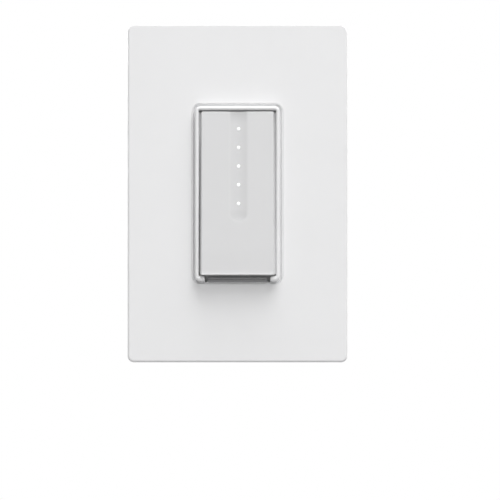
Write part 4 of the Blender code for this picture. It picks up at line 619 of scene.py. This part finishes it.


# Painted shade: the groove's colour is darkened towards black, most of all at both ends, to stand
# in for the shade in the groove. The distance from its axis, in half widths, sets where, and the
# height sets how much
def groovePaintedShade(coords, skin):
    look = paddleLook
    half = look["grooveHalf"] * mm
    tall = half * look["grooveEndShare"]
    centre = (hinge["z"] + look["grooveEnd"]) * mm + tall
    mapping = nodeBy(coords, "ShaderNodeMapping", Scale=(1 / half, 0, 1 / tall),
                     Location=(-look["grooveX"] * mm / half, 0, -centre / tall))
    parts = nodeBy(coords, "ShaderNodeSeparateXYZ")
    joined = nodeBy(coords, "ShaderNodeCombineXYZ")
    distance = nodeBy(coords, "ShaderNodeVectorMath", operation="LENGTH")
    link(coords, mapping.inputs["Vector"])
    link(mapping.outputs["Vector"], parts.inputs[0])
    link(parts.outputs["X"], joined.inputs["X"])
    link(mathOf("MINIMUM", parts.outputs["Z"], 0), joined.inputs["Z"])
    link(joined.outputs[0], distance.inputs[0])
    inside = rangeOf(distance.outputs["Value"], 1, 0, *look["groovePaintedShadeEdge"])
    heights = [((hinge["z"] + height) * mm - centre) / tall for height, _ in look["groovePaintedShade"]]
    amount = nodeBy(coords, "ShaderNodeValToRGB")
    stops = amount.color_ramp.elements
    while len(stops) < len(heights):
        stops.new(0.5)
    for stop, height, (_, dark) in zip(stops, heights, look["groovePaintedShade"]):
        stop.position = (height - heights[0]) / (heights[-1] - heights[0])
        stop.color = (dark, dark, dark, 1)
    link(rangeOf(parts.outputs["Z"], 0, 1, heights[0], heights[-1]),
         amount.inputs["Fac"])
    share = mathOf("MULTIPLY", inside, amount.outputs["Color"])
    # painted shade: the colour is mixed towards black by this share
    return mixColours(share, skin, (0.0, 0.0, 0.0))


# What stands behind the face: trunnions, stops, ribs, two spring pegs and the switch's post
def paddleInside(look):
    depth, width = look["ribDepth"], look["ribWidth"]
    trunnion, stop, side = look["trunnion"], look["stop"], look["sideRib"]
    peg, post = look["springPeg"], look["post"]
    shapes = [rod(post["radius"], *post["y"], "y", (0, 0, post["z"]))]
    for height in look["crossRibs"]:
        shapes.append(softBox((-side["x"][1], side["x"][1]), depth, around(height, width), 0.1))
    for sign in (-1, 1):
        shapes.append(rod(trunnion["radius"], *mirrored(sign, trunnion["x"]), "x", (0, 0, 0)))
        shapes.append(softBox(mirrored(sign, stop["x"]), stop["y"], stop["z"], 0.12))
        shapes.append(softBox(mirrored(sign, side["x"]), depth, side["z"], 0.1))
        shapes.append(rod(peg["radius"], *peg["y"], "y", (sign * peg["x"], 0, peg["z"])))
    return shapes


# The face is a height over a grid: flat, rounded off along its edges, minus the groove and a slight
# hollow above the lower edge. The grid's square corners are drawn in to quarter circles
def paddleFace(look):
    wide, low, high = look["halfWidth"], look["bottom"], look["top"]
    rounding, corner, grooveEnd = look["edgeRound"], look["corner"], look["grooveEnd"]
    rimHeights = [low + place for place in look["lowerRim"]]
    edge = np.concatenate([rounding * (1 - np.cos(np.linspace(0, np.pi / 2, 8))),
                           [corner * 0.8, corner]])
    reach = look["grooveHalf"] + 0.6
    grooveX = look["grooveX"] + np.linspace(-reach, reach, 49)
    spread = np.linspace(look["grooveHalf"] + 1.4, wide - corner - 0.6, 6)
    xs = np.unique(np.concatenate([grooveX, -spread, spread, edge - wide, wide - edge]).round(4))
    zs = np.unique(np.concatenate([
        low + edge, rimHeights[:2], np.arange(low + 1.6, grooveEnd - 1, 1.6),
        np.arange(grooveEnd - 0.8, grooveEnd + 4.4, 0.16),
        np.arange(grooveEnd + 5, high - corner - 0.4, 0.8), high - edge]).round(4))
    x, z = np.meshgrid(xs, zs)
    middle, halfTall = (low + high) / 2, (high - low) / 2
    overX = np.abs(x) - (wide - corner)
    overZ = np.abs(z - middle) - (halfTall - corner)
    inCorner = (overX > 0) & (overZ > 0)
    largest = np.maximum(overX, overZ)
    factor = np.where(inCorner, largest / np.maximum(np.hypot(overX, overZ), 1e-9), 1)
    x = np.where(inCorner, np.sign(x) * (wide - corner + overX * factor), x)
    z = np.where(inCorner, middle + np.sign(z - middle) * (halfTall - corner + overZ * factor), z)
    within = np.clip(rounding - (corner - largest), 0, rounding)  # how far into the round edge
    y = look["front"] + rounding - np.sqrt(rounding ** 2 - within ** 2)
    y = y + grooveDepth(x, z, look) + look["lowerRimDepth"] * np.interp(z, rimHeights, [0, 1, 0])
    return np.stack([x, y, z], axis=-1)


# The rim of the face is carried back as a skirt that widens by its draft, turned round a soft edge
# and closed by the inner face, which lies deeper behind the groove
def paddleShell(look):
    wide, low, high = look["halfWidth"], look["bottom"], look["top"]
    middle, halfTall = (low + high) / 2, (high - low) / 2
    face = paddleFace(look)
    points = face.reshape(-1, 3)
    rim = gridRim(*face.shape[:2])
    rimX, rimZ = points[rim, 0], points[rim, 2]

    def shrunk(x, z, inset, grow=0):
        return (x * (wide + grow - inset) / wide,
                middle + (z - middle) * (halfTall - inset) / halfTall)

    back, soft, skirt = look["back"], look["rimRound"], look["skirt"]
    draft = np.where(rimX < 0, *look["draft"])
    foot = look["front"] + look["draftDepth"]
    band = []
    for inset, grow, level in ((0, draft * 0.95, foot - 0.1), (0, draft, foot + 0.05),
                               (0, draft, back - soft), (soft * 0.3, draft, back - soft * 0.3),
                               (soft, draft, back), (skirt - soft, 0, back),
                               (skirt, 0, back - soft)):
        bandX, bandZ = shrunk(rimX, rimZ, inset, grow)
        band.append(np.stack([bandX, np.full(len(rim), level), bandZ], axis=-1))
    innerX, innerZ = shrunk(points[:, 0], points[:, 2], skirt)
    deeper = (np.abs(innerX) < look["backingHalf"]) & (innerZ > look["grooveEnd"] - 3)
    innerY = look["front"] + look["faceThickness"] + look["backingDepth"] * deeper
    firstBand = len(points) + np.arange(len(rim))
    lastBand = firstBand + len(rim) * (len(band) - 1)
    innerStart = len(points) + len(rim) * len(band)
    faces = np.concatenate([gridQuads(*face.shape[:2], wrapColumns=False),
                            gridQuads(len(band), len(rim), start=len(points)),
                            gridQuads(*face.shape[:2], wrapColumns=False, start=innerStart)])
    joints = ringQuads(rim, firstBand) + ringQuads(lastBand, innerStart + rim)
    inner = np.stack([innerX, innerY, innerZ], axis=-1)
    return np.concatenate([points, *band, inner]), faces.tolist() + joints


# Rails at both sides, whose fronts slant to stay behind the bezel's lip, and a lip above and below:
# they stop the view past the paddle's edge
def paddleRails(look):
    shapes = []
    bottom, top = look["railHeights"]
    for sign, (atTop, atBottom) in zip((-1, 1), look["railFronts"]):
        points, faces = softBox(mirrored(sign, look["rail"]), (atTop, look["railBack"]),
                                (bottom, top), 0.12)
        inFront = points[:, 1] < (atTop + look["railBack"]) / 2
        points[:, 1] += inFront * (top - points[:, 2]) / (top - bottom) * (atBottom - atTop)
        shapes.append((points, faces))
    for lip in (look["lowLip"], look["highLip"]):
        shapes.append(softBox((-look["lipHalf"], look["lipHalf"]), lip["y"], lip["z"], 0.1))
    return shapes


# The shell and what it carries are shaped about the hinge's axis and tilted on it; the rails and
# lips stand upright in the device's own frame
def makePaddle(look):
    cover = moved(together([paddleShell(look)] + paddleInside(look)), hingeTurn, hingePlace)
    # the paddle's colour carries painted shade in its groove
    return addPiece("paddleCover", together([cover] + paddleRails(look)),
                    mouldedPlastic("paddleWhite", look["finish"], groovePaintedShade),
                    "paddle", ["paddle"], hardAngle=50)


lightGuideLook = {
    "x": 0.4, "dots": (-5.3, -12.14, -18.98, -25.82, -32.66), "pinRadius": 0.62,
    "pinFront": -4.66, "dome": 0.12, "barFront": -0.8, "barBack": 0.0, "barHalf": 1.5,
    "pinTip": 0.01, "pinInBar": 0.2,
}


# Each pin is a round skin with a domed end, and all five stand on one flat bar
def makeLightGuide(look):
    angle = np.linspace(0, np.pi / 2, 6)
    radius, dome, front = look["pinRadius"], look["dome"], look["pinFront"]
    profile = [(max(radius * math.sin(turn), look["pinTip"]), dome * math.cos(turn) - front)
               for turn in angle]
    profile.append((radius, -look["barFront"] - look["pinInBar"]))
    turnToFront = [(1, 0, 0), (0, 0, -1), (0, 1, 0)]
    shapes = [moved(turned(profile, 28), turnToFront, (look["x"], 0, z)) for z in look["dots"]]
    half = look["barHalf"]
    shapes.append(softBox(around(look["x"], 2 * half), (look["barFront"], look["barBack"]),
                          (look["dots"][-1] - half, look["dots"][0] + half), 0.15))
    return addPiece("lightGuide", moved(together(shapes), hingeTurn, hingePlace),
                    finish["pinGlow"], "paddle", ["light_guide"])


makePaddle(paddleLook)
makeLightGuide(lightGuideLook)
print("paddle and light guide done")


# Service tab under the paddle

serviceTabLook = {
    "half": 11.05, "bottom": -32.45, "height": 1.85, "front": -8.0, "back": -5.7,
    "step": 0.45, "stepHeight": 0.99, "round": 0.3, "endRound": 0.3, "sectionHalf": 1.15,
    "stem": {"x": (-4.0, 4.0), "y": (-6.1, 5.0), "z": (-32.35, -31.35)},
}


# Section of the tab in (y, z), each corner eased by a quadratic curve, carried along x and drawn
# in at both ends by a quarter circle
def makeServiceTab(look):
    low, high = look["bottom"], look["bottom"] + look["height"]
    front, back = look["front"], look["back"]
    shelf, stepBack = high - look["stepHeight"], front + look["step"]
    corners = np.array([(back, low), (front, low), (front, shelf), (stepBack, shelf),
                        (stepBack, high), (back, high)])
    section = []
    for index, point in enumerate(corners):
        toBefore = corners[index - 1] - point
        toAfter = corners[(index + 1) % len(corners)] - point
        before, after = np.linalg.norm(toBefore), np.linalg.norm(toAfter)
        cut = min(look["round"], before * 0.45, after * 0.45)  # under half of either side
        start, end = point + toBefore / before * cut, point + toAfter / after * cut
        for share in np.linspace(0, 1, 5):
            section.append((1 - share) ** 2 * start + 2 * share * (1 - share) * point
                           + share ** 2 * end)
    section = np.array(section)
    centre = section.mean(axis=0)
    turn = np.linspace(0, np.pi / 2, 5)
    fromEnd = look["endRound"] * (1 - np.cos(turn))
    inset = look["endRound"] * (1 - np.sin(turn))
    xs = np.concatenate([fromEnd - look["half"], look["half"] - fromEnd[::-1]])
    scales = 1 - np.concatenate([inset, inset[::-1]]) / look["sectionHalf"]
    loops = [np.insert(centre + (section - centre) * scale, 0, x, axis=1)
             for x, scale in zip(xs, scales)]
    stem = softBox(look["stem"]["x"], look["stem"]["y"], look["stem"]["z"], 0.2)
    # the tab's dark grey finish is painted shade
    return addPiece("serviceTab", together([loft(loops), stem]), finish["tabPaintedShadeGrey"], "pull_tab",
                    ["air_gap_tab"])


makeServiceTab(serviceTabLook)
print("service tab done")


# Screws

screwKinds = {
    "box": {"head": 3.4, "height": 1.8, "shank": 1.6, "length": 19.0, "pitch": 0.79,
            "finish": "screwZinc", "slot": "screw_steel"},
    "plate": {"head": 3.2, "height": 1.7, "shank": 1.5, "length": 8.0, "pitch": 0.79,
              "flat": True, "finish": "whitePaint", "slot": "painted_screw"},
    "ground": {"head": 3.4, "height": 1.8, "shank": 1.7, "length": 3.0, "pitch": 0.79,
               "cross": True, "finish": "greenSteel", "slot": "green_screw"},
    "housing": {"head": 2.2, "height": 1.9, "shank": 1.2, "length": 30.0, "pitch": 0.9,
                "cross": True, "finish": "screwZinc", "slot": "screw_steel"},
    "steelTerminal": {"head": 3.4, "height": 1.8, "shank": 1.7, "length": 5.2, "pitch": 0.79,
                      "cross": True, "finish": "screwZinc", "slot": "screw_steel"},
    "brassTerminal": {"head": 3.4, "height": 1.8, "shank": 1.7, "length": 5.2, "pitch": 0.79,
                      "cross": True, "finish": "plainBrass", "slot": "brass"},
}
headLook = {
    "domeEase": 0.12, "flatEase": 0.08, "domeShare": 0.38, "domePower": 2.6, "outermost": 0.9995,
    "slotWidth": 0.9, "slotDepth": 0.8, "slotWall": 0.04,
    "crossReach": 0.62, "crossWidth": 0.85, "crossDepth": 0.15,
}
threadLook = {
    "sides": 24, "stepsPerPitch": 7, "inHead": 0.25, "depth": 0.33,
    "neckLength": 0.6, "neckShare": 0.35, "tipLength": 0.6, "tipShare": 0.42,
}
screwPlaces = {
    "box": {"y": -1.6, "z": 41.65, "slotAngle": 20},
    "plate": {"y": -2.5, "z": 48.4, "slotAngle": -35},
    "ground": {"seat": (-11.2, 5.25, -39.8), "slotAngle": 15},
    "housing": {"x": 17.9, "y": 26.6, "z": 31.2, "slotAngles": (10, 75, 130, 40)},
    "terminal": {"x": 18.75, "y": 8.0, "z": 14, "slotAngles": (25, -40, 70, 5)},
}


# Head: chords of a disc, crowded at the slot's two sides. The top is a flattened dome; the slot
# drops to a flat floor, and a cross recess sinks along both axes. The rim goes down to the seat
def screwHead(kind, look):
    radius, height = kind["head"], kind["height"]
    flat = kind.get("flat", False)
    top = radius - look["flatEase" if flat else "domeEase"]
    slotHalf, wall = look["slotWidth"] / 2, look["slotWall"]
    rows = np.unique(np.concatenate([
        top * np.sin(np.linspace(-np.pi / 2, np.pi / 2, 33)),
        [-slotHalf, slotHalf, wall - slotHalf, slotHalf - wall]]).round(5))
    rows[[0, -1]] = -top * look["outermost"], top * look["outermost"]
    half = np.sqrt(np.maximum(top ** 2 - rows ** 2, 0))
    crossReach, crossHalf = radius * look["crossReach"], look["crossWidth"] / 2
    crossEdges = np.array([-crossReach, crossReach, -crossHalf, crossHalf]) / top
    share = np.unique(np.concatenate([np.linspace(-1, 1, 25), crossEdges]))
    u = half[:, None] * share
    v = np.repeat(rows[:, None], len(share), axis=1)
    away = np.hypot(u, v) / top
    rise = 0.0 if flat else height * look["domeShare"]
    dome = height - rise + rise * np.sqrt(np.maximum(1 - away ** look["domePower"], 0))
    floor = height - look["slotDepth"]
    w = np.where(np.abs(v) < slotHalf - wall / 2, np.minimum(dome, floor), dome)
    if kind.get("cross"):
        inCross = (np.abs(u) < crossHalf) & (np.abs(v) < crossReach)
        w = np.where(inCross, np.minimum(w, floor - look["crossDepth"]), w)
    points = np.stack([u, v, w], axis=-1).reshape(-1, 3)
    rim = gridRim(*u.shape)
    direction = points[rim, :2] / np.linalg.norm(points[rim, :2], axis=1, keepdims=True)
    if flat:
        band = [(radius, height - 0.12), (kind["shank"] + 0.05, 0.02)]
    else:
        band = [(radius * 0.995, (height - rise) * 0.93), (radius, (height - rise) * 0.8),
                (radius, 0.1), (radius - 0.1, 0.0)]
    faces = gridQuads(*u.shape, wrapColumns=False).tolist()
    rings, previous = [], rim
    for reach, level in band:
        current = len(points) + len(rings) * len(rim) + np.arange(len(rim))
        rings.append(np.column_stack([direction * reach, np.minimum(level, points[rim, 2])]))
        faces += ringQuads(previous, current)
        previous = current
    faces += ringFan(previous, previous[-1] + 1)
    return np.concatenate([points, *rings, [[0, 0, rings[-1][:, 2].mean()]]]), faces


# Shank: the radius follows a triangle wave of (height / pitch - turn) with its crests cut flat. The
# neck under the head has no thread, and the tip narrows to a share of the radius
def screwShank(kind, look):
    radius, length, pitch = kind["shank"], kind["length"], kind["pitch"]
    rows = int(length / pitch * look["stepsPerPitch"]) + 4
    heights = np.linspace(look["inHead"], -length, rows)[:, None]
    angle = np.linspace(0, 2 * np.pi, look["sides"], endpoint=False)
    wave = np.abs((heights / pitch - angle / (2 * np.pi)) % 1 - 0.5) * 2
    crest = np.clip(wave * 1.5 - 0.25, 0, 1)
    neck = np.clip(-heights / look["neckLength"] - 1, 0, 1)
    tip = np.clip((heights + length) / (radius * look["tipLength"]), 0, 1)
    depth = look["depth"] * pitch * (look["neckShare"] + (1 - look["neckShare"]) * neck)
    outer = radius - depth * (1 - crest * neck)
    reach = outer * (look["tipShare"] + (1 - look["tipShare"]) * tip)
    return loft(np.stack([reach * np.cos(angle), reach * np.sin(angle),
                          np.broadcast_to(heights, reach.shape)], axis=-1))


# Turns +z to the way the head faces, with the slot's direction given as an angle
def makeScrew(name, node, kindName, seat, facing, slotAngle):
    kind = screwKinds[kindName]
    shape = together([screwHead(kind, headLook), screwShank(kind, threadLook)])
    spin = Matrix.Rotation(math.radians(slotAngle), 3, "Z")
    turn = Vector((0, 0, 1)).rotation_difference(Vector(facing)).to_matrix() @ spin
    return addPiece(name, moved(shape, np.array(turn), seat), finish[kind["finish"]], "device",
                    [node], hardAngle=40)


for word, signZ in (("Top", 1), ("Bottom", -1)):
    for kindName in ("box", "plate"):
        place = screwPlaces[kindName]
        makeScrew(kindName + "Screw" + word, kindName + "_screw_" + word.lower(), kindName,
                  (0, place["y"], signZ * place["z"]), (0, -1, 0), signZ * place["slotAngle"])
place = screwPlaces["ground"]
makeScrew("groundScrew", "ground_screw", "ground", place["seat"], (0, 0, -1), place["slotAngle"])
place = screwPlaces["housing"]
housingCorners = ((-1, -1), (-1, 1), (1, -1), (1, 1))
for number, (signX, signZ) in enumerate(housingCorners, 1):
    makeScrew("housingScrew%d" % number, "housing_screw_%d" % number, "housing",
              (signX * place["x"], place["y"], signZ * place["z"]), (0, 1, 0),
              place["slotAngles"][number - 1])
place = screwPlaces["terminal"]
terminalCorners = ((-1, 1), (1, 1), (-1, -1), (1, -1))
for number, (signX, signZ) in enumerate(terminalCorners, 1):
    makeScrew("terminalScrew%d" % number, "terminal_screw_%d" % number,
              "brassTerminal" if signX > 0 else "steelTerminal",
              (signX * place["x"], place["y"], signZ * place["z"]), (signX, 0, 0),
              place["slotAngles"][number - 1])
print("screws done")


# CAD nodes that stay: their edges are eased and they get their finish

nodeFinishes = {
    "sub_plate": ("innerWhite", 0.25), "mounting_strap": ("strapZinc", 0.18),
    "rear_housing": ("housingGrey", 0.35), "screw_retainer_top": ("pressedFibre", 0.1),
    "screw_retainer_bottom": ("pressedFibre", 0.1), "control_board": ("greenBoard", 0.05),
    "touch_board": ("greenBoard", 0.05), "radio_module": ("greenBoard", 0.05),
    "power_board": ("greenBoard", 0.05), "insulating_sheet": ("pressedFibre", 0.03),
    "insulating_pad": ("pressedFibre", 0.05), "touch_ribbon": ("amberFilm", 0.0),
    "tact_switch_body": ("blackMoulding", 0.1), "tact_switch_plunger": ("yellowMoulding", 0.1),
    "return_spring_left": ("springWire", 0.0), "return_spring_right": ("springWire", 0.0),
    "board_header": ("blackMoulding", 0.05), "dimming_mosfet_1": ("blackMoulding", 0.08),
    "dimming_mosfet_2": ("blackMoulding", 0.08), "filter_choke": ("enamelledCopper", 0.0),
    "film_capacitor": ("yellowMoulding", 0.15), "power_transformer": ("blackMoulding", 0.12),
    "electrolytic_capacitor": ("blackMoulding", 0.15), "varistor": ("blueCoating", 0.3),
    "fuse": ("clearPlastic", 0.1), "air_gap_leaf": ("plainBrass", 0.05),
    "air_gap_contact": ("enamelledCopper", 0.05),
}
nodeFinishes.update({"indicator_led_%d" % n: ("ledLens", 0.05) for n in range(1, 6)})
nodeFinishes.update({"terminal_clamp_%d" % n: ("plainBrass", 0.12) for n in range(1, 5)})


# Loose triangles are welded, flat ones joined, then hard edges are rounded by the given width
def easeNode(name, finishName, width):
    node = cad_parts[name]
    node.data.materials.clear()
    node.data.materials.append(finish[finishName])
    weld = node.modifiers.new("weld", "WELD")
    weld.merge_threshold = 1e-7
    if width:
        plain = node.modifiers.new("join flat faces", "DECIMATE")
        plain.decimate_type = "DISSOLVE"
        plain.angle_limit = math.radians(1)
        bevel = node.modifiers.new("ease edges", "BEVEL")
        bevel.width = width * mm
        bevel.segments = 2
        bevel.limit_method = "ANGLE"
        bevel.angle_limit = math.radians(40)
        bevel.use_clamp_overlap = True
    weighted = node.modifiers.new("even shading", "WEIGHTED_NORMAL")
    weighted.keep_sharp = True


for nodeName, (finishName, width) in nodeFinishes.items():
    easeNode(nodeName, finishName, width)
print("CAD nodes finished:", len(nodeFinishes))


# Light, floor and camera

cameraLook = {"place": (4.6, -506.5, -20.6), "span": 184.2, "toFront": 500.0, "sensor": 36}
lightLooks = {  # places and sizes in metres
    "frontLight": {"place": (0.00, -7.92, 1.11), "size": 5.0, "watts": 94},
    "upperFrontLight": {"place": (2.48, -6.81, 3.38), "size": 5.0, "watts": 89},
    "keyLight": {"place": (2.83, -4.90, 5.66), "size": 5.0, "watts": 147},
    "sideLight": {"place": (2.88, -2.41, 7.06), "size": 5.0, "watts": 362},
    "overheadLight": {"place": (0.00, -3.25, 7.31), "size": 5.0, "watts": 179},
    "steepLight": {"place": (0.00, -1.94, 7.76), "size": 3.3, "watts": 187},
    "leftLight": {"place": (-6.81, -3.18, 2.74), "size": 5.0, "watts": 68},
    "backLeftLight": {"place": (-1.5, 1.5, 0.6), "size": 0.9, "watts": 22},
    "backRightLight": {"place": (1.5, 1.5, 0.9), "size": 0.9, "watts": 26},
}
floorLook = {  # places and sizes in metres
    "z": -0.25, "radius": 3.0, "sides": 96, "colour": (0.35, 0.35, 0.35), "roughness": 0.7,
    "paler": 0.6, "fade": (0.35, 0.62),
}


# A square lamp aimed at the middle of the device
def addLight(name, look):
    data = bpy.data.lights.new(name, "AREA")
    data.shape = "SQUARE"
    data.size = look["size"]
    data.energy = look["watts"]
    lamp = bpy.data.objects.new(name, data)
    lamp.location = look["place"]
    aim = -Vector(look["place"])
    lamp.rotation_euler = aim.to_track_quat("-Z", "Y").to_euler()
    bpy.context.scene.collection.objects.link(lamp)


# 1 for rays that see the surroundings: from the camera, in gloss and through clear plastic
def seenRays(socket):
    path = nodeBy(socket, "ShaderNodeLightPath").outputs
    seen = mathOf("MAXIMUM", path["Is Camera Ray"], path["Is Glossy Ray"])
    return mathOf("MAXIMUM", seen, path["Is Transmission Ray"])


# The surroundings are white where they are seen; only the lamps light the object
def setWorld():
    world = bpy.data.worlds.new("studio")
    bpy.context.scene.world = world
    world.use_nodes = True
    background = world.node_tree.nodes["Background"]
    background.inputs["Color"].default_value = (1, 1, 1, 1)
    strength = background.inputs["Strength"]
    link(seenRays(strength), strength)


# A round pale floor that keeps shadows near the object and turns into the white background
def addFloor(look):
    sides = look["sides"]
    angle = np.linspace(0, 2 * np.pi, sides, endpoint=False)
    rings = np.array([0.02, 0.5, 1.0]) * look["radius"]
    points = np.stack([np.outer(rings, np.cos(angle)), np.outer(rings, np.sin(angle)),
                       np.full((len(rings), sides), look["z"])], axis=-1).reshape(-1, 3)
    faces = gridQuads(len(rings), sides).tolist() + [list(range(sides))]
    mesh = bpy.data.meshes.new("floor")
    mesh.from_pydata(points.tolist(), [], faces)
    floor = bpy.data.objects.new("floor", mesh)
    bpy.context.scene.collection.objects.link(floor)
    made, shader, coords = newMaterial("floorPale")
    shader.inputs["Base Color"].default_value = (*look["colour"], 1)
    shader.inputs["Roughness"].default_value = look["roughness"]
    shader.inputs["Specular IOR Level"].default_value = 0.0
    distance = nodeBy(coords, "ShaderNodeVectorMath", operation="LENGTH")
    link(coords, distance.inputs[0])
    fade = rangeOf(distance.outputs["Value"], look["paler"], 1, *look["fade"])
    white = nodeBy(coords, "ShaderNodeEmission")
    mix = nodeBy(coords, "ShaderNodeMixShader")
    link(mathOf("MULTIPLY", fade, seenRays(coords)), mix.inputs[0])
    link(shader.outputs[0], mix.inputs[1])
    link(white.outputs[0], mix.inputs[2])
    link(mix.outputs[0], made.node_tree.nodes["Material Output"].inputs["Surface"])
    mesh.materials.append(made)


for lampName, lampLook in lightLooks.items():
    addLight(lampName, lampLook)
setWorld()
addFloor(floorLook)

cameraData = bpy.data.cameras.new("camera")
cameraData.sensor_width = cameraLook["sensor"]
cameraData.lens = cameraLook["sensor"] * cameraLook["toFront"] / cameraLook["span"]
camera = bpy.data.objects.new("camera", cameraData)
camera.location = [part * mm for part in cameraLook["place"]]
camera.rotation_euler = (math.pi / 2, 0, 0)
bpy.context.scene.collection.objects.link(camera)
bpy.context.scene.camera = camera
bpy.context.scene.view_settings.view_transform = "Standard"
print("light, floor and camera placed")
